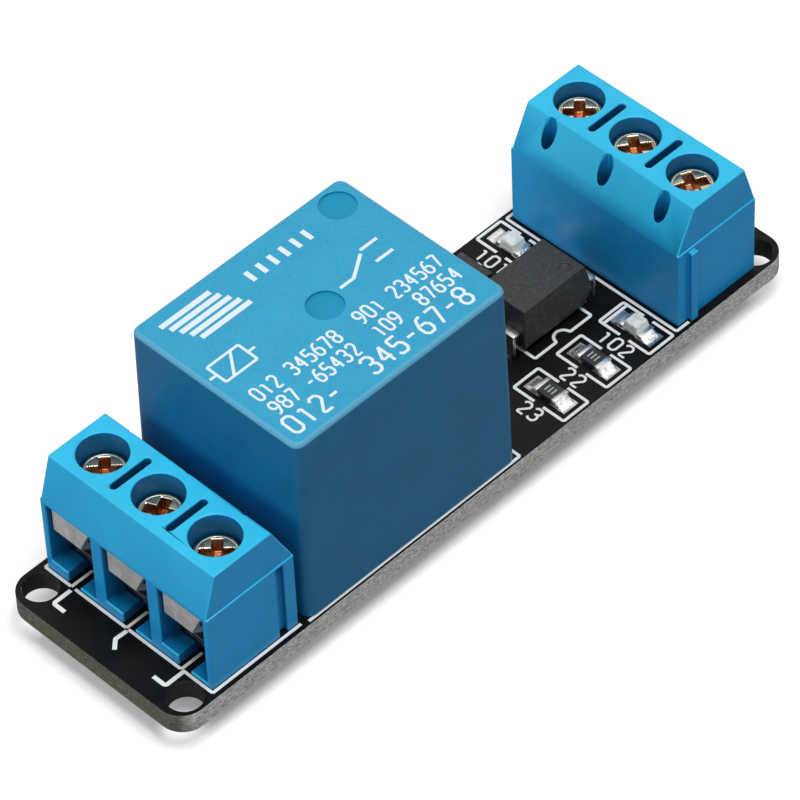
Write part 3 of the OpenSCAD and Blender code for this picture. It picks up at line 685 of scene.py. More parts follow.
def stroke_tree():
    """Turns lines into flat raised strokes, with their corners rounded."""
    tree, start, end = new_tree(
        "Printed strokes", ("Width", "NodeSocketFloat", 0.2 * MM),
        ("Rise", "NodeSocketFloat", 0.02 * MM),
        ("Material", "NodeSocketMaterial", None))
    make, link = tree.nodes.new, tree.links.new
    lines = make("GeometryNodeMeshToCurve")
    link(start.outputs["Geometry"], lines.inputs["Mesh"])
    half = make("ShaderNodeMath")
    half.operation = "MULTIPLY"
    half.inputs[1].default_value = 0.55  # corners turn a little wider than half a stroke
    link(start.outputs["Width"], half.inputs[0])
    corners = make("GeometryNodeFilletCurve")
    if "Mode" in corners.inputs:
        corners.inputs["Mode"].default_value = "Poly"
    else:
        corners.mode = "POLY"
    corners.inputs["Count"].default_value = 3
    corners.inputs["Limit Radius"].default_value = True
    link(half.outputs[0], corners.inputs["Radius"])
    link(lines.outputs["Curve"], corners.inputs["Curve"])
    upright = make("GeometryNodeSetCurveNormal")
    upright.mode = "Z_UP"
    link(corners.outputs["Curve"], upright.inputs["Curve"])
    outline = make("GeometryNodeCurvePrimitiveQuadrilateral")
    link(start.outputs["Rise"], outline.inputs["Height"])
    link(start.outputs["Width"], outline.inputs["Width"])
    body = make("GeometryNodeCurveToMesh")
    body.inputs["Fill Caps"].default_value = True
    link(upright.outputs["Curve"], body.inputs["Curve"])
    link(outline.outputs["Curve"], body.inputs["Profile Curve"])
    flat = make("GeometryNodeSetShadeSmooth")
    flat.inputs["Shade Smooth"].default_value = False
    link(body.outputs["Mesh"], flat.inputs["Geometry"])
    return finish_tree(tree, start, end, flat.outputs["Geometry"])


def scatter_tree():
    """Puts a copy of a shape on each point, turned and sized by the point's own values."""
    tree, start, end = new_tree(
        "Repeated shape", ("Shape", "NodeSocketObject", None),
        ("Material", "NodeSocketMaterial", None))
    make, link = tree.nodes.new, tree.links.new
    source = make("GeometryNodeObjectInfo")
    link(start.outputs["Shape"], source.inputs["Object"])
    named = []
    for label in ("turn", "size"):
        attribute = make("GeometryNodeInputNamedAttribute")
        attribute.data_type = "FLOAT_VECTOR"
        attribute.inputs["Name"].default_value = label
        named.append(attribute)
    spread = make("GeometryNodeInstanceOnPoints")
    link(start.outputs["Geometry"], spread.inputs["Points"])
    link(source.outputs["Geometry"], spread.inputs["Instance"])
    link(named[0].outputs["Attribute"], spread.inputs["Rotation"])
    link(named[1].outputs["Attribute"], spread.inputs["Scale"])
    return finish_tree(tree, start, end, spread.outputs["Instances"])


def draw_strokes(name, lines, z, width, rise, material, body=MODULE, slot=None):
    """Raised strokes along lines of (x, y) points in metres, lying on the height z.

    Neighbouring lines differ a little in height, so none lies exactly in another where they cross.
    """
    levels, step, same_place = 9, 0.0008 * MM, 1e-7
    points, edges = [], []
    for n, line in enumerate(lines):
        first = len(points)
        level = z + rise / 2 + (n % levels) * step
        closed = len(line) > 2 and (Vector(line[0]) - Vector(line[-1])).length < same_place
        run = line[:-1] if closed else line
        points += [(x, y, level) for x, y in run]
        edges += [(first + i, first + i + 1) for i in range(len(run) - 1)]
        if closed:
            edges.append((first + len(run) - 1, first))
    mesh = bpy.data.meshes.new(name)
    mesh.from_pydata(points, edges, [])
    piece = placed(name, mesh)
    run_tree(piece, stroke_tree(), Width=width, Rise=rise, Material=material)
    return stands_for(piece, body, slot)


def repeat_shape(name, shape, places, material, body=MODULE, slot=None, nodes=()):
    """Copies of a shape at places of (point, turn, size), as one piece."""
    mesh = bpy.data.meshes.new(name)
    mesh.from_pydata([tuple(p[0]) for p in places], [], [])
    for label, column in (("turn", 1), ("size", 2)):
        attribute = mesh.attributes.new(label, "FLOAT_VECTOR", "POINT")
        attribute.data.foreach_set("vector", [v for p in places for v in p[column]])
    piece = placed(name, mesh)
    run_tree(piece, scatter_tree(), Shape=shape, Material=material)
    bpy.data.objects.remove(shape)
    return stands_for(piece, body, slot, *nodes)


# ---------- figures for the print ----------

FIGURES = {
    "0": [[(1, 0), (3, 0), (4, 1), (4, 5), (3, 6), (1, 6), (0, 5), (0, 1), (1, 0)]],
    "1": [[(0.8, 4.8), (2.2, 6), (2.2, 0)]],
    "2": [[(0, 5), (1, 6), (3, 6), (4, 5), (4, 4), (0, 0), (4, 0)]],
    "3": [[(0, 5.2), (1, 6), (3, 6), (4, 5), (4, 4), (3, 3.2), (1.5, 3.2)],
          [(3, 3.2), (4, 2.4), (4, 1), (3, 0), (1, 0), (0, 0.8)]],
    "4": [[(4, 2), (0, 2), (3, 6)], [(3, 6), (3, 0)]],
    "5": [[(4, 6), (0.4, 6), (0.2, 3.4), (3, 3.6), (4, 2.6), (4, 1), (3, 0), (1, 0), (0, 0.8)]],
    "6": [[(3.6, 6), (1.6, 5.6), (0, 3), (0, 1), (1, 0), (3, 0), (4, 1), (4, 2.4), (3, 3.4),
           (1, 3.4)]],
    "7": [[(0, 6), (4, 6), (1.5, 0)]],
    "8": [[(1, 3.2), (0, 4), (0, 5), (1, 6), (3, 6), (4, 5), (4, 4), (3, 3.2), (1, 3.2)],
          [(1, 3.2), (0, 2.2), (0, 1), (1, 0), (3, 0), (4, 1), (4, 2.2), (3, 3.2)]],
    "9": [[(0.4, 0), (2.4, 0.4), (4, 3), (4, 5), (3, 6), (1, 6), (0, 5), (0, 3.8), (1, 2.8),
           (3, 2.8)]],
    "-": [[(0.5, 3), (3.5, 3)]],
    " ": [],
}


def figures(text, corner, along, up, tall, wide=0.62, gap=0.3):
    """Lines that draw plain figures from a corner, along one way and up another."""
    corner, along, up = Vector(corner), Vector(along), Vector(up)
    lines = []
    step = 0.0
    for sign in text:
        for run in FIGURES[sign]:
            lines.append([tuple(corner + along * (step + x / 4 * wide * tall)
                                + up * (y / 6 * tall)) for x, y in run])
        step += (wide + gap) * tall
    return lines


def box_lines(x0, x1, y0, y1):
    """A closed rectangle."""
    return [(x0, y0), (x1, y0), (x1, y1), (x0, y1), (x0, y0)]


def arc(centre, radius, start, stop, steps=10):
    """Points on an arc, in degrees."""
    turn = [math.radians(start + (stop - start) * i / steps) for i in range(steps + 1)]
    return [(centre[0] + radius * math.cos(a), centre[1] + radius * math.sin(a)) for a in turn]


# ---------- the pieces, one operator each ----------


class RELAYBOARD_OT_board(bpy.types.Operator):
    """Make the bare board, its mask and its cut edges"""

    bl_idname = "relay_board.board"
    bl_label = "Board"

    def execute(self, context):
        sizes = look(context, "board")
        board = rounded_copy("board", "bare_board", solder_mask(sizes), sizes.edge, MODULE,
                             "board_mask")
        board.data.materials.append(cut_fibre(sizes))
        board.data.materials.append(drilled_fibre(sizes))
        fibre, drilled = 1, 2
        rim, corner_reach = 0.2 * MM, 1.2 * MM
        ends = high("board").to_2d()
        for face in board.data.polygons:
            if abs(face.normal.z) < 0.4:
                away = ends - Vector((abs(face.center.x), abs(face.center.y)))
                outside = min(away) < rim or away.length < corner_reach
                face.material_index = fibre if outside else drilled
        return {"FINISHED"}


class RELAYBOARD_OT_tracks(bpy.types.Operator):
    """Lay the copper tracks under the mask and the tinned pads"""

    bl_idname = "relay_board.tracks"
    bl_label = "Tracks and pads"

    def execute(self, context):
        sizes = look(context, "board")
        parts = look(context, "parts")
        mask = bpy.data.materials["solder_mask"]
        opto = middle("optocoupler_body")
        wide, signal, power = 0.7 * MM, 0.8 * MM, 2.4 * MM
        rise = sizes.track_rise
        relay, relay_end = RELAY.x, high("relay_cover").x
        first, second, light = (CHIPS[name].x
                                for name in ("resistor_3", "resistor_2", "light_base_2"))
        near_row, pad_y = CHIPS["light_base_2"].y, 1.2 * MM
        inner, outer = near_row + pad_y, near_row - pad_y
        edge_run = -6.85 * MM
        top = [
            [(relay_end - 0.5 * MM, edge_run), (first, edge_run)],
            [(first, inner), (second, inner)],
            [(second, outer), (light, outer)],
            [(light, inner), (opto.x + OPTO_LEAD_X, -OPTO_LEAD_Y)],
            [(opto.x - OPTO_LEAD_X, -OPTO_LEAD_Y), (first, inner)],
            [(opto.x - OPTO_LEAD_X, OPTO_LEAD_Y), (relay_end + 2 * MM, 2.4 * MM),
             (relay_end + 2 * MM, 5.2 * MM)],
        ]
        draw_strokes("covered_tracks", top, BOARD_TOP, wide, rise, mask, slot="board_mask")
        contact_pin, control_pin, coil_y = CONTACT_X + 2 * MM, CONTROL_X - 2 * MM, 6 * MM
        under = [[(relay - 7 * MM, RELAY.y + side * coil_y), (contact_pin, side * POLE_STEP)]
                 for side in SIDES]
        under.append([(relay + 7.2 * MM, RELAY.y), (relay + 3 * MM, -0.3 * MM),
                      (contact_pin, 0.0)])
        draw_strokes("covered_power_tracks", under, BOARD_UNDER - rise, power, rise, mask,
                     slot="board_mask")
        coil_x = relay + 5.2 * MM
        fine = [
            [(coil_x, RELAY.y + coil_y), (relay_end + 6 * MM, 5.9 * MM),
             (control_pin, POLE_STEP)],
            [(coil_x, RELAY.y - coil_y), (relay_end + 5 * MM, -6.2 * MM),
             (relay_end + 9 * MM, -6.2 * MM)],
            [(opto.x + OPTO_LEAD_X, OPTO_LEAD_Y), (control_pin, 0.0)],
            [(opto.x + OPTO_LEAD_X, -OPTO_LEAD_Y), (control_pin, -POLE_STEP)],
        ]
        draw_strokes("covered_signal_tracks", fine, BOARD_UNDER - rise, signal, rise, mask,
                     slot="board_mask")
        tin = plated_metal("tinned_pad", parts.tin, 0.3, (1.0, 1.0, 1.0))
        pads = []
        pad_side, pad_thick = 1.36 * MM, 0.024 * MM
        for place in CHIPS.values():
            for side in SIDES:
                pads.append(((place.x, place.y + side * 1.15 * MM, BOARD_TOP + 0.012 * MM),
                             (0, 0, 0), (pad_side, pad_side, pad_thick)))
        pad = add_mesh("pad_shape", [(x, y, z) for x in (-.5, .5) for y in (-.5, .5)
                                     for z in (-.5, .5)],
                       [(0, 1, 3, 2), (4, 6, 7, 5), (0, 4, 5, 1), (2, 3, 7, 6), (0, 2, 6, 4),
                        (1, 5, 7, 3)], [tin])
        repeat_shape("chip_pads", pad, pads, tin, slot="chip_caps")
        return {"FINISHED"}


class RELAYBOARD_OT_board_print(bpy.types.Operator):
    """Print the outlines, symbols and plain numbers on the board"""

    bl_idname = "relay_board.board_print"
    bl_label = "Board print"

    def execute(self, context):
        sizes = look(context, "board")
        ink = screen_ink("board_ink", sizes.ink)
        opto = middle("optocoupler_body")
        box_x, box_y, split, bar_in = 1.17 * MM, 2.25 * MM, 0.4 * MM, 0.36 * MM
        lines = []
        for name, side, _ in CHIP_PRINT:
            place = CHIPS[name]
            x0, x1 = place.x - box_x, place.x + box_x
            inner, outer = place.y - side * box_y, place.y + side * box_y
            for gap, wall in ((place.y - side * split, inner), (place.y + side * split, outer)):
                lines.append([(x0, gap), (x0, wall), (x1, wall), (x1, gap)])
            if name.startswith("light"):
                lines.append([(x0, inner + side * bar_in), (x1, inner + side * bar_in)])
        x0, x1 = opto.x - 2.7 * MM, opto.x + 2.7 * MM
        near_end, far_end = opto.y - 2.65 * MM, opto.y + 1.75 * MM
        bulge = arc((opto.x, near_end), 0.65 * MM, 180, 0)
        lines.append([(x0, far_end), (x0, near_end)] + bulge + [(x1, near_end), (x1, far_end)])
        rear, side = low("control_block").x - 0.35 * MM, 7.8 * MM
        hook = rear + 1.2 * MM
        lines.append([(hook, -side), (rear, -side), (rear, side), (hook, side)])
        entry = low("contact_block").x - 0.15 * MM
        back = CONTACT_X + 4.13 * MM
        near_line, far_line = -7.75 * MM, 7.65 * MM
        for y0, y1 in ((7.65, 5.25), (4.85, 0.15), (-0.1, -4.85), (-5.05, -7.75)):
            lines.append([(entry, y0 * MM), (entry, y1 * MM)])
        for y in (5.2, 0.1, -4.9):
            lines.append([(entry, y * MM), (entry + 1.85 * MM, y * MM)])
        for y in (near_line, far_line):
            lines.append([(entry, y), (back, y)])
        left, right = low("relay_cover").x, high("relay_cover").x + 0.25 * MM
        relay_near, relay_far = -7.94 * MM, 7.62 * MM
        for y in (relay_near, relay_far):
            lines.append([(left, y), (right, y)])
        lines.append([(right, relay_near), (right, relay_far)])
        tall, wide, gap = 1.1 * MM, 0.56, 0.3
        numbers = []
        for name, _, text in CHIP_PRINT:
            place = CHIPS[name]
            span = (wide * len(text) + gap * (len(text) - 1)) * tall
            corner = (place.x - 2.55 * MM, place.y + span / 2)
            numbers += figures(text, corner, (0, -1), (1, 0), tall, wide, gap)
        draw_strokes("board_lines", lines, BOARD_TOP, sizes.ink_width, sizes.ink_rise, ink,
                     slot="board_mask")
        draw_strokes("board_numbers", numbers, BOARD_TOP, 0.17 * MM, sizes.ink_rise, ink,
                     slot="board_mask")
        symbols = [
            [(-25.4, 5.0), (-26.9, 5.0), (-26.9, 3.95)],
            [(-25.3, -0.1), (-26.25, -0.05), (-26.9, -0.65)],
            [(-25.2, -5.15), (-26.75, -5.15), (-26.75, -4.05)],
        ]
        symbols = [[(x * MM, y * MM) for x, y in run] for run in symbols]
        draw_strokes("contact_symbols", symbols, BOARD_TOP, sizes.symbol_width, sizes.ink_rise,
                     ink, slot="board_mask")
        return {"FINISHED"}


class RELAYBOARD_OT_housings(bpy.types.Operator):
    """Make the two terminal housings"""

    bl_idname = "relay_board.housings"
    bl_label = "Terminal housings"

    def execute(self, context):
        sizes = look(context, "terminals")
        outer = terminal_plastic("terminal_plastic", sizes)
        inner = terminal_plastic("terminal_wells", sizes, True)
        well_reach, row_half, brow, skin = 2.05 * MM, 1.9 * MM, 3.4 * MM, 0.12 * MM
        for block in BLOCKS:
            housing = rounded_copy(block + "_block", block + "_housing", outer, sizes.edge,
                                   MODULE, "terminal_plastic", 3)
            housing.data.materials.append(inner)
            a, b = low(block + "_block"), high(block + "_block")
            poles = [middle(f"{block}_screw_{n}") for n in POLES]
            # Painted shade: faces that are not at the ends and lie in the wells, slots, entries or
            # cells, and face sideways or sit low, take the darker well material.
            for face in housing.data.polygons:
                at, up = face.center, face.normal.z
                aside = abs(at.x - poles[0].x)
                deep = b.z - at.z
                well_shade = any((at - pole).to_2d().length < well_reach for pole in poles)
                slot = deep > 0.15 * MM and aside < row_half
                hole = aside > row_half and abs(up) < 0.05 and deep < brow
                ends = min(at.y - a.y, b.y - at.y) < 0.5 * MM
                cell = a.x + skin < at.x < b.x - skin and deep > brow
                low_sill = at.z < a.z + 1.5 * MM
                if (up < 0.6 or low_sill) and not ends and (well_shade or slot or hole or cell):
                    face.material_index = 1
        return {"FINISHED"}


class RELAYBOARD_OT_contacts(bpy.types.Operator):
    """Make the contact strips with their guard flaps"""

    bl_idname = "relay_board.contacts"
    bl_label = "Terminal contacts"

    def execute(self, context):
        sizes = look(context, "terminals")
        metal = plated_metal("tinned_strip", sizes.strip, 0.42, (1.0, 0.3, 1.0),
                             shade(sizes.strip, 0.72), 0.5, 0.5)
        for block in BLOCKS:
            for n in POLES:
                node = f"{block}_terminal_{n}"
                rounded_copy(node, f"{block}_contact_strip_{n}", metal, 0.06 * MM, MODULE,
                             "tinned_strip")
        return {"FINISHED"}


class RELAYBOARD_OT_clamps(bpy.types.Operator):
    """Make the clamps that rise with the screws"""

    bl_idname = "relay_board.clamps"
    bl_label = "Terminal clamps"

    def execute(self, context):
        sizes = look(context, "terminals")
        metal = plated_metal("clamp_plate", sizes.clamp, 0.3, (1.0, 0.1, 1.0))
        for block in BLOCKS:
            for n in POLES:
                node = f"{block}_clamp_{n}"
                rounded_copy(node, f"{block}_rising_clamp_{n}", metal, 0.07 * MM, node,
                             "clamp_plate")
        return {"FINISHED"}


def cross_depth(x, y, turn):
    """How deep a worn cross recess goes at a point: 0 outside it, 1 on its floor."""
    c, s = math.cos(turn), math.sin(turn)
    u, v = abs(c * x + s * y), abs(c * y - s * x)
    u, v = max(u, v), min(u, v)
    half_width, side_slope, reach, end_slope = 0.4, 0.19, 1.2, 0.4
    side = (half_width - v / MM) / side_slope
    end = (reach - u / MM) / end_slope
    inside = max(0.0, min(1.0, side, end))
    return inside * inside * (3 - 2 * inside)


def screw_mesh(name, node, turn, bright, brown):
    """A cheese-head screw: threaded shank, rounded head and a cross recess with worn lips."""
    a, b, axis = low(node), high(node), middle(node)
    head_r = (b.x - a.x) / 2
    head, lip, shank = 1.3 * MM, 0.2 * MM, 1.25 * MM
    thread_step, thread_deep, sag = 0.5 * MM, 0.14 * MM, 0.03 * MM
    recess, recess_reach = 0.84 * MM, 1.3 * MM
    seat = b.z - head
    turns, rings = 128, 44
    profile = [(0.3 * MM, a.z), (shank - 0.15 * MM, a.z)]
    steps = int((seat - a.z) / thread_step) * 2
    for k in range(1, steps):
        z = a.z + (seat - a.z) * k / steps
        profile.append((shank if k % 2 else shank - thread_deep, z))
    profile += [(shank - 0.1 * MM, seat), (head_r - 0.05 * MM, seat), (head_r, seat + 0.05 * MM)]
    profile.append((head_r, b.z - lip - 0.06 * MM))
    for k in range(1, 7):
        bend = math.radians(15 * k)
        profile.append((head_r - 0.25 * MM * (1 - math.cos(bend)),
                        b.z - lip + lip * math.sin(bend) * 0.96))
    points = [(axis.x, axis.y, a.z)]
    for r, z in profile:
        for k in range(turns):
            bend = 2 * math.pi * k / turns
            points.append((axis.x + r * math.cos(bend), axis.y + r * math.sin(bend), z))
    face_r = profile[-1][0]
    for step in range(1, rings + 1):
        r = face_r * (1 - step / (rings + 0.5))
        for k in range(turns):
            bend = 2 * math.pi * k / turns
            x, y = r * math.cos(bend), r * math.sin(bend)
            z = b.z - recess * cross_depth(x, y, turn) - sag * (r / face_r) ** 3
            points.append((axis.x + x, axis.y + y, z))
    points.append((axis.x, axis.y, b.z - 0.85 * MM))
    levels = len(profile) + rings
    faces = [(0, 1 + (k + 1) % turns, 1 + k) for k in range(turns)]
    for level in range(levels - 1):
        for k in range(turns):
            i, j = 1 + level * turns + k, 1 + level * turns + (k + 1) % turns
            faces.append((i, j, j + turns, i + turns))
    last = 1 + (levels - 1) * turns
    faces += [(last + k, last + (k + 1) % turns, len(points) - 1) for k in range(turns)]
    piece = add_mesh(name, points, faces, [bright, brown])
    for face in piece.data.polygons:
        away = (face.center - axis).to_2d().length
        if away < recess_reach and b.z - 1.0 * MM < face.center.z < b.z - 0.07 * MM:
            face.material_index = 1
    smooth(piece.data, 50)
    return piece


class RELAYBOARD_OT_screws(bpy.types.Operator):
    """Make the terminal screws with their worn cross recesses"""

    bl_idname = "relay_board.screws"
    bl_label = "Terminal screws"

    def execute(self, context):
        sizes = look(context, "terminals")
        bright = plated_metal("screw_head", sizes.screw, 0.24, (1.0, 1.0, 1.0))
        brown = plated_metal("screw_recess", sizes.tarnish, 0.3, (1.0, 1.0, 0.2),
                             shade(sizes.screw, 0.6))
        for block in BLOCKS:
            for n in POLES:
                node = f"{block}_screw_{n}"
                piece = screw_mesh(f"{block}_clamp_screw_{n}", node,
                                   math.radians(SCREW_TURNS[block][n - 1]), bright, brown)
                stands_for(piece, node, "screw_metal", node)
        return {"FINISHED"}


def rounded_ring(size_x, size_y, radius, z, centre, corner=8):
    """Points round a rectangle with round corners, anticlockwise seen from above."""
    ring = []
    for i, (sx, sy) in enumerate(((1, 1), (-1, 1), (-1, -1), (1, -1))):
        cx = centre.x + sx * (size_x / 2 - radius)
        cy = centre.y + sy * (size_y / 2 - radius)
        for k in range(corner + 1):
            a = math.radians(90 * i + 90 * k / corner)
            ring.append((cx + radius * math.cos(a), cy + radius * math.sin(a), z))
    return ring


def loft(rings, flip=False):
    """Points and faces of a wall through rings of equal length."""
    points = [p for ring in rings for p in ring]
    n = len(rings[0])
    faces = []
    for r in range(len(rings) - 1):
        for k in range(n):
            a, b = r * n + k, r * n + (k + 1) % n
            quad = (a, b, b + n, a + n)
            faces.append(quad[::-1] if flip else quad)
    return points, faces


class RELAYBOARD_OT_relay_cover(bpy.types.Operator):
    """Make the relay's cover with its frosted top and moulded dimples"""

    bl_idname = "relay_board.relay_cover"
    bl_label = "Relay cover"

    def execute(self, context):
        sizes = look(context, "relay")
        side = moulded_plastic("relay_plastic", tuple(sizes.cover), 0.34, 0.003 * MM)
        top = frosted_plastic("relay_frosted_top", tuple(sizes.frosted))
        dish_skin = moulded_plastic("relay_dimples", shade(sizes.frosted, 0.82), 0.4)
        rim_skin = frosted_plastic("relay_rubbed_edges", tuple(sizes.frosted), 0.3)
        a, b = low("relay_cover"), high("relay_cover")
        lean, wall, corner, soft = 0.18 * MM, 0.8 * MM, 0.7 * MM, sizes.rounding
        long_x, wide_y, tall = b.x - a.x, b.y - a.y, b.z - a.z
        levels, bends = 6, 8
        rings = []
        for step in range(levels + 1):
            t = step / levels
            z = a.z + (tall - soft) * t
            inset = 2 * lean * t
            rings.append(rounded_ring(long_x - inset, wide_y - inset, corner, z, RELAY))
        for step in range(1, bends + 1):
            turn = math.radians(90 * step / bends)
            inset = 2 * (lean + soft * (1 - math.cos(turn)))
            rings.append(rounded_ring(long_x - inset, wide_y - inset,
                                      corner - soft * 0.8 * (1 - math.cos(turn)),
                                      b.z - soft * (1 - math.sin(turn)), RELAY))
        points, faces = loft(rings)
        n = len(rings[0])
        faces.append(tuple(range(len(points) - n, len(points))))
        inner = [rounded_ring(long_x - 2 * wall, wide_y - 2 * wall, corner, a.z, RELAY),
                 rounded_ring(long_x - 2 * wall - 2 * lean, wide_y - 2 * wall - 2 * lean, corner,
                              b.z - 0.9 * MM, RELAY)]
        more, walls = loft(inner, flip=True)
        first = len(points)
        points += more
        faces += [tuple(first + i for i in f) for f in walls]
        faces.append(tuple(range(first + 2 * n - 1, first + n - 1, -1)))
        for k in range(n):
            faces.append((k, first + k, first + (k + 1) % n, (k + 1) % n))
        cover = add_mesh("relay_shell", points, faces, [side, top, dish_skin, rim_skin])
        dishes = []
        radius, depth, over = 1.28 * MM, 0.16 * MM, 0.3 * MM
        for x, y in ((7.3, 5.65), (0.5, -0.05)):
            centre = (RELAY.x + x * MM, RELAY.y + y * MM)
            rim = arc(centre, radius, 0, 360, 48)[:-1]
            floor = len(rim)
            dish_points = [(x, y, b.z - depth) for x, y in rim]
            dish_points += [(x, y, b.z + over) for x, y in rim]
            dish_faces = [tuple(range(floor - 1, -1, -1)), tuple(range(floor, 2 * floor))]
            dish_faces += [(k, (k + 1) % floor, floor + (k + 1) % floor, floor + k)
                           for k in range(floor)]
            dish = add_mesh("dimple_cutter", dish_points, dish_faces, [])
            cut = cover.modifiers.new("Dimple", "BOOLEAN")
            cut.operation, cut.object, cut.solver = "DIFFERENCE", dish, "EXACT"
            dishes.append(dish)
        baked(cover)
        for dish in dishes:
            bpy.data.objects.remove(dish)
        on_side, on_top, in_dish, on_rim = range(4)
        for face in cover.data.polygons:
            level, tilt = b.z - face.center.z, face.normal.z
            if level > 0.36 * MM or tilt < 0.25:
                dish_wall = 0.0 < level < 0.2 * MM and tilt < 0.01
                face.material_index = in_dish if dish_wall else on_side
            elif level > 0.06 * MM and tilt > 0.99:
                face.material_index = in_dish
            else:
                face.material_index = on_top if tilt > 0.97 else on_rim
        smooth(cover.data, 40)
        stands_for(cover, MODULE, "relay_plastic", "relay_cover")
        return {"FINISHED"}


def frosted_plastic(name, colour, rubbed=0.0):
    """Frosted plastic, dusty and rubbed pale where it was handled."""
    paint = Paint(name, colour, 0.62, Specular_IOR_Level=0.3)
    dust = paint.ramp(paint.noise(0.11 * MM, 6.0, 0.8), (0.4 - rubbed, 0.0),
                      (0.75 - rubbed, 1.0))
    cloud = paint.ramp(paint.noise(2.5 * MM, 4.0), (0.3, 0.0), (0.7, 1.0))
    base = paint.blend(cloud, shade(colour, 0.93), shade(colour, 1.06))
    pale = tuple(c * 0.85 + 0.09 for c in colour)
    paint.colour_by(paint.blend(dust, base, pale))
    grain, pits = paint.noise(0.05 * MM, 3.0), paint.noise(0.3 * MM, 4.0)
    paint.height((grain, 0.008 * MM), (pits, 0.01 * MM))
    return paint.material


class RELAYBOARD_OT_relay_print(bpy.types.Operator):
    """Print a plain circuit symbol, bars and numbers on the relay"""

    bl_idname = "relay_board.relay_print"
    bl_label = "Relay print"

    def execute(self, context):
        sizes = look(context, "relay")
        ink = screen_ink("relay_ink", sizes.ink, 0.55, 0.66)
        top = high("relay_cover").z

        def at(u, v):
            """A place on the cover: v goes along the module, u towards its near side."""
            return (RELAY.x + v * MM, RELAY.y - u * MM)

        def run(*spots):
            return [at(u, v) for u, v in spots]

        def words(text, u, v, tall, wide, gap):
            return figures(text, at(u, v), (1, 0), (0, 1), tall * MM, wide, gap)

        heavy = [run((-6.1 + 0.62 * k, -7.9 + 0.3 * k), (-6.1 + 0.62 * k, -3.6 + 0.3 * k))
                 for k in range(5)]
        bars = [run((-5.7, v), (-4.7, v)) for v in (-0.9, 0.1, 1.1, 2.1, 3.1, 4.1)]
        coil = [box_lines(at(0, -8.3)[0], at(0, -5.6)[0], at(0.25, 0)[1], at(-1.5, 0)[1]),
                run((0.25, -7.6), (-1.5, -6.3)),
                run((-0.6, -8.9), (-0.6, -8.3)), run((-0.6, -5.6), (-0.6, -5.0))]
        switch = [run((-0.3, 2.2), (-0.3, 3.4), (-1.5, 5.2)), run((-0.3, 5.4), (-0.3, 6.9)),
                  run((-1.75, 5.4), (-1.75, 6.9))]
        small = words("012 345678  901 234567", 3.0, -8.0, 1.15, 0.42, 0.23)
        small += words("987 -65432  109  87654", 4.65, -8.0, 1.15, 0.42, 0.23)
        large = words("012-", 6.6, -8.4, 1.55, 0.5, 0.25)
        large += words("345-67-8", 6.6, -1.6, 1.55, 0.5, 0.25)
        for name, lines, width in (
            ("relay_bars", heavy, 0.4), ("relay_marks", bars, 0.36),
            ("relay_coil_symbol", coil, 0.2), ("relay_switch_symbol", switch, 0.24),
            ("relay_large_print", large, 0.21),
        ):
            draw_strokes(name, lines, top, width * MM, sizes.ink_rise, ink, slot="relay_plastic")
        draw_strokes("relay_small_print", small, top, sizes.text_width, sizes.ink_rise, ink,
                     slot="relay_plastic")
        return {"FINISHED"}


class RELAYBOARD_OT_relay_works(bpy.types.Operator):
    """Finish the parts inside the relay"""

    bl_idname = "relay_board.relay_works"
    bl_label = "Relay works"

    def execute(self, context):
        iron = plated_metal("soft_iron", (0.5, 0.5, 0.5), 0.38, (1.0, 0.1, 1.0))
        bronze = plated_metal("spring_bronze", (0.66, 0.38, 0.2), 0.3, (0.1, 1.0, 1.0))
        silver = plated_metal("contact_silver", (0.8, 0.8, 0.78), 0.2, (1.0, 1.0, 1.0))
        copper = winding_wire("copper_wire", (0.52, 0.17, 0.06))
        cream = moulded_plastic("bobbin_plastic", (0.72, 0.69, 0.6), 0.5)
        blue = moulded_plastic("relay_base_plastic", tuple(look(context, "relay").cover), 0.5)
        resin = moulded_resin("seal_resin", (0.03, 0.034, 0.038), 0.35)
        tin = plated_metal("relay_pin_tin", look(context, "parts").tin, 0.28)
        for material, nodes in (
            (iron, ("relay_core", "relay_yoke", "relay_armature")),
            (bronze, ("relay_blade", "relay_closed_terminal", "relay_open_terminal")),
            (silver, ("relay_moving_button", "relay_closed_button", "relay_open_button")),
            (copper, ("relay_winding",)), (cream, ("relay_bobbin",)), (blue, ("relay_base",)),
            (resin, ("relay_seal",)), (tin, ("relay_coil_pins",)),
        ):
            for node in nodes:
                finish_node(node, material)
        return {"FINISHED"}


def winding_wire(name, colour):
    """Layers of fine enamelled wire."""
    paint = Paint(name, colour, 0.3, 0.9)
    turns = paint.bands("Z", 0.4 * MM, 0.6)
    shadow = paint.ramp(turns, (0.1, 0.0), (0.6, 1.0))
    paint.colour_by(paint.blend(shadow, shade(colour, 0.4), shade(colour, 1.2)))
    paint.height((turns, 0.03 * MM))
    return paint.material


class RELAYBOARD_OT_optocoupler(bpy.types.Operator):
    """Make the optocoupler's body and leads"""

    bl_idname = "relay_board.optocoupler"
    bl_label = "Optocoupler"

    def execute(self, context):
        sizes = look(context, "parts")
        resin = moulded_resin("optocoupler_resin", tuple(sizes.resin))
        tin = plated_metal("tinned_leads", sizes.tin, 0.26, (1.0, 1.0, 0.1))
        rounded_copy("optocoupler_body", "optocoupler_shell", resin, 0.09 * MM, MODULE,
                     "optocoupler_resin", 3, 25.0)
        rounded_copy("optocoupler_leads", "optocoupler_pins", tin, 0.05 * MM, MODULE,
                     "tinned_leads")
        return {"FINISHED"}


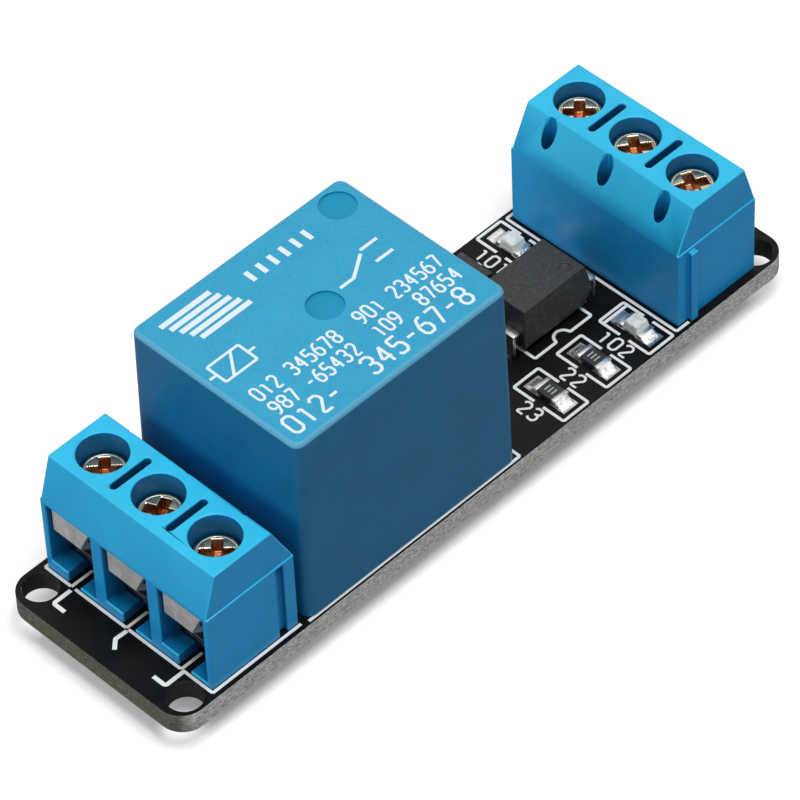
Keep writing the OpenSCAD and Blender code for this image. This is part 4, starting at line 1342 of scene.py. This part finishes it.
class RELAYBOARD_OT_chips(bpy.types.Operator):
    """Make the chip resistors and the chip lights"""

    bl_idname = "relay_board.chips"
    bl_label = "Chip parts"

    def execute(self, context):
        sizes = look(context, "parts")
        glaze = moulded_resin("resistor_glaze", (0.016, 0.017, 0.02), 0.3)
        caps = plated_metal("chip_cap_tin", sizes.tin, 0.3, (1.0, 1.0, 1.0))
        body = moulded_plastic("light_body", (0.8, 0.82, 0.76), 0.45)
        lens = clear_resin("light_lens", tuple(sizes.lens))
        for n in (1, 2, 3):
            rounded_copy(f"resistor_{n}", f"chip_resistor_{n}", glaze, 0.03 * MM, MODULE,
                         "resistor_body")
        rounded_copy("resistor_caps", "chip_resistor_caps", caps, 0.05 * MM, MODULE, "chip_caps")
        rounded_copy("light_caps", "chip_light_caps", caps, 0.04 * MM, MODULE, "chip_caps")
        for n in (1, 2):
            rounded_copy(f"light_base_{n}", f"chip_light_base_{n}", body, 0.02 * MM, MODULE,
                         "light_body")
            rounded_copy(f"light_lens_{n}", f"chip_light_lens_{n}", lens, 0.09 * MM, MODULE,
                         "light_lens", 3)
        marks = []
        for name in ("resistor_2", "resistor_3"):
            spot = CHIPS[name]
            for k in (-1, 0, 1):
                marks.append([(spot.x - 0.28 * MM, spot.y + k * 0.3 * MM),
                              (spot.x + 0.28 * MM, spot.y + k * 0.3 * MM)])
        ink = screen_ink("resistor_ink", (0.42, 0.44, 0.44), 0.5, 0.5)
        draw_strokes("resistor_bars", marks, high("resistor_2").z, 0.11 * MM, 0.008 * MM, ink,
                     slot="resistor_body")
        return {"FINISHED"}


def clear_resin(name, colour):
    """Cloudy clear resin over a chip light."""
    paint = Paint(name, colour, 0.12, 0.0, Transmission_Weight=0.15, IOR=1.5, Coat_Weight=0.5)
    cloud = paint.ramp(paint.noise(0.3 * MM, 4.0), (0.35, 0.0), (0.7, 1.0))
    paint.colour_by(paint.blend(cloud, shade(colour, 0.8), shade(colour, 1.25)))
    paint.height((paint.noise(0.25 * MM, 2.0), 0.02 * MM))
    return paint.material


class RELAYBOARD_OT_coil_driver(bpy.types.Operator):
    """Make the transistor and the coil's diode behind the relay"""

    bl_idname = "relay_board.coil_driver"
    bl_label = "Transistor and diode"

    def execute(self, context):
        sizes = look(context, "parts")
        resin = moulded_resin("transistor_resin", tuple(sizes.resin), 0.5)
        tin = plated_metal("transistor_tin", sizes.tin, 0.28)
        amber = Paint("diode_glass", (0.5, 0.2, 0.07), 0.08, 0.0, Transmission_Weight=0.5, IOR=1.5)
        swirl = amber.ramp(amber.noise(0.5 * MM, 3.0), (0.3, 0.0), (0.7, 1.0))
        amber.colour_by(amber.blend(swirl, (0.4, 0.13, 0.04), (0.62, 0.3, 0.14)))
        rounded_copy("transistor_body", "transistor_shell", resin, 0.07 * MM, MODULE,
                     "optocoupler_resin", 3)
        rounded_copy("transistor_leads", "transistor_pins", tin, 0.03 * MM, MODULE,
                     "tinned_leads")
        rounded_copy("diode_glass", "diode_tube", amber.material, 0.08 * MM, MODULE,
                     "diode_glass", 3)
        rounded_copy("diode_caps", "diode_ends", tin, 0.08 * MM, MODULE, "chip_caps", 3)
        return {"FINISHED"}


def fillet_shape(material):
    """A solder fillet of unit size: it climbs at y = 0 and runs out at y = 1."""
    across, along = 10, 12
    points, faces = [], []
    for j in range(along + 1):
        s = j / along
        climb = 0.94 * (1 - s) ** 2.1 + 0.06 * (1 - s ** 4)
        for i in range(across + 1):
            t = 2 * i / across - 1
            width = 0.5 * (1 - 0.22 * s ** 3)
            drop = (1 - abs(t) ** 5) ** 0.5
            points.append((t * width, s, max(0.0, climb * drop)))
    for j in range(along):
        for i in range(across):
            a = j * (across + 1) + i
            faces.append((a, a + 1, a + across + 2, a + across + 1))
    count = len(points)
    for j in range(along + 1):
        for i in (0, across):
            p = points[j * (across + 1) + i]
            points.append((p[0], p[1], -0.02))
    for j in range(along):
        left, ahead = count + 2 * j, count + 2 * j + 2
        top, top_ahead = j * (across + 1), (j + 1) * (across + 1)
        faces.append((left, top, top_ahead, ahead))
        faces.append((ahead + 1, top_ahead + across, top + across, left + 1))
        faces.append((left, ahead, ahead + 1, left + 1))
    faces.append((count, count + 1, *range(across, -1, -1)))
    last = along * (across + 1)
    faces.append((*range(last, last + across + 1), count + 2 * along + 1, count + 2 * along))
    shape = add_mesh("fillet_shape", points, faces, [material])
    form = bmesh.new()
    form.from_mesh(shape.data)
    bmesh.ops.recalc_face_normals(form, faces=form.faces)
    form.to_mesh(shape.data)
    form.free()
    smooth(shape.data, 50)
    return shape


class RELAYBOARD_OT_solder(bpy.types.Operator):
    """Lay the solder at the chips and round the pins"""

    bl_idname = "relay_board.solder"
    bl_label = "Solder"

    def execute(self, context):
        metal = bright_solder("solder", look(context, "parts").solder)
        lift = 0.01 * MM
        places = []
        for name, place in CHIPS.items():
            light = name.startswith("light")
            tall = (0.36 if light else 0.5) * MM
            wide = (1.42 if light else 1.36) * MM
            for side in SIDES:
                turn = 0.0 if side > 0 else math.pi
                places.append(((place.x, place.y + side * 0.98 * MM, BOARD_TOP + lift),
                               (0, 0, turn), (wide, 0.76 * MM, tall)))
        diode = middle("diode_glass")
        for side in SIDES:
            turn = 0.0 if side > 0 else math.pi
            places.append(((diode.x, diode.y + side * 1.73 * MM, BOARD_TOP + lift),
                           (0, 0, turn), (1.5 * MM, 0.52 * MM, 0.74 * MM)))
        repeat_shape("chip_fillets", fillet_shape(metal), places, metal, slot="solder",
                     nodes=("chip_solder",))
        rounded_copy("pin_solder", "pin_joints", metal, 0.12 * MM, MODULE, "solder", 3, 20.0)
        return {"FINISHED"}


class RELAYBOARD_OT_stage(bpy.types.Operator):
    """Set the floor, the lamps and the camera"""

    bl_idname = "relay_board.stage"
    bl_label = "Stage"

    def execute(self, context):
        sizes = look(context, "stage")
        scene = context.scene
        scene.view_settings.view_transform = "Standard"
        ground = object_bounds()[0][2]
        reach = 3.0
        floor = add_mesh("floor", [(x * reach, y * reach, ground)
                                   for x, y in ((-1, -1), (1, -1), (1, 1), (-1, 1))],
                         [(0, 1, 2, 3)], [pale_floor(sizes)])
        floor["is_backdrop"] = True
        world = bpy.data.worlds.new("even_sky")
        scene.world = world
        world.use_nodes = True
        sky = world.node_tree.nodes["Background"]
        sky.inputs["Color"].default_value = (1.0, 1.0, 1.0, 1.0)
        glint = world.node_tree.nodes.new("ShaderNodeLightPath")
        level = world.node_tree.nodes.new("ShaderNodeMapRange")
        level.inputs["To Min"].default_value = sizes.sky
        level.inputs["To Max"].default_value = sizes.glint
        world.node_tree.links.new(glint.outputs["Is Glossy Ray"], level.inputs["Value"])
        world.node_tree.links.new(level.outputs["Result"], sky.inputs["Strength"])
        for name, place, power, size in (
            ("overhead_lamp", (-0.02, -0.12, 0.485), sizes.key, 0.24),
            ("side_lamp", (-0.35, 0.1, 0.16), sizes.side, 0.16),
        ):
            data = bpy.data.lights.new(name, "AREA")
            data.energy, data.size = power, size
            lamp = placed(name, data)
            lamp.location = place
            lamp.rotation_euler = (-Vector(place)).to_track_quat("-Z", "Y").to_euler()
        data = bpy.data.cameras.new("camera")
        data.lens, data.sensor_width, data.clip_start = sizes.lens, 36.0, 0.01
        data.dof.use_dof = False
        camera = placed("camera", data)
        camera.location = sizes.place
        camera.rotation_euler = sizes.turn
        scene.camera = camera
        return {"FINISHED"}


def pale_floor(sizes):
    """A white floor with soft shadows, less bright to the parts than to the eye."""
    paint = Paint("floor", tuple(sizes.floor), 0.9, Specular_IOR_Level=0.0)
    soft = paint.ramp(paint.noise(30 * MM, 2.0), (0.3, shade(sizes.floor, 0.995)),
                      (0.7, tuple(sizes.floor)))
    eye = paint.add("ShaderNodeLightPath").outputs["Is Camera Ray"]
    paint.colour_by(paint.blend(eye, (0.3, 0.3, 0.3), soft))
    paint.join(paint.blend(eye, (0.0, 0.0, 0.0), (0.2, 0.2, 0.2)),
               paint.surface.inputs["Emission Color"])
    paint.set("Emission Strength", 1.0)
    return paint.material


STEPS = (
    RELAYBOARD_OT_board,
    RELAYBOARD_OT_tracks,
    RELAYBOARD_OT_board_print,
    RELAYBOARD_OT_housings,
    RELAYBOARD_OT_contacts,
    RELAYBOARD_OT_clamps,
    RELAYBOARD_OT_screws,
    RELAYBOARD_OT_relay_cover,
    RELAYBOARD_OT_relay_print,
    RELAYBOARD_OT_relay_works,
    RELAYBOARD_OT_optocoupler,
    RELAYBOARD_OT_chips,
    RELAYBOARD_OT_coil_driver,
    RELAYBOARD_OT_solder,
    RELAYBOARD_OT_stage,
)
SETTINGS = {
    "board": RELAYBOARD_PG_board,
    "terminals": RELAYBOARD_PG_terminals,
    "relay": RELAYBOARD_PG_relay,
    "parts": RELAYBOARD_PG_parts,
    "stage": RELAYBOARD_PG_stage,
}


class RELAYBOARD_PT_panel(bpy.types.Panel):
    """Lists the pieces of the relay board and their settings"""

    bl_idname = "RELAYBOARD_PT_panel"
    bl_label = "Relay Board"
    bl_space_type = "VIEW_3D"
    bl_region_type = "UI"
    bl_category = "Relay Board"

    def draw(self, context):
        for step in STEPS:
            self.layout.operator(step.bl_idname)
        for part, group in SETTINGS.items():
            box = self.layout.box()
            box.label(text=part.capitalize())
            for name in group.__annotations__:
                box.prop(look(context, part), name)


def register():
    for group in SETTINGS.values():
        bpy.utils.register_class(group)
    for part, group in SETTINGS.items():
        setattr(bpy.types.Scene, "relay_board_" + part, bpy.props.PointerProperty(type=group))
    for step in STEPS:
        bpy.utils.register_class(step)
    bpy.utils.register_class(RELAYBOARD_PT_panel)


def unregister():
    bpy.utils.unregister_class(RELAYBOARD_PT_panel)
    for step in reversed(STEPS):
        bpy.utils.unregister_class(step)
    for part in SETTINGS:
        delattr(bpy.types.Scene, "relay_board_" + part)
    for group in SETTINGS.values():
        bpy.utils.unregister_class(group)


def main():
    """Builds every piece in order."""
    register()
    for step in STEPS:
        family, name = step.bl_idname.split(".")
        getattr(getattr(bpy.ops, family), name)()
    bpy.context.view_layer.update()


if __name__ == "__main__":
    main()
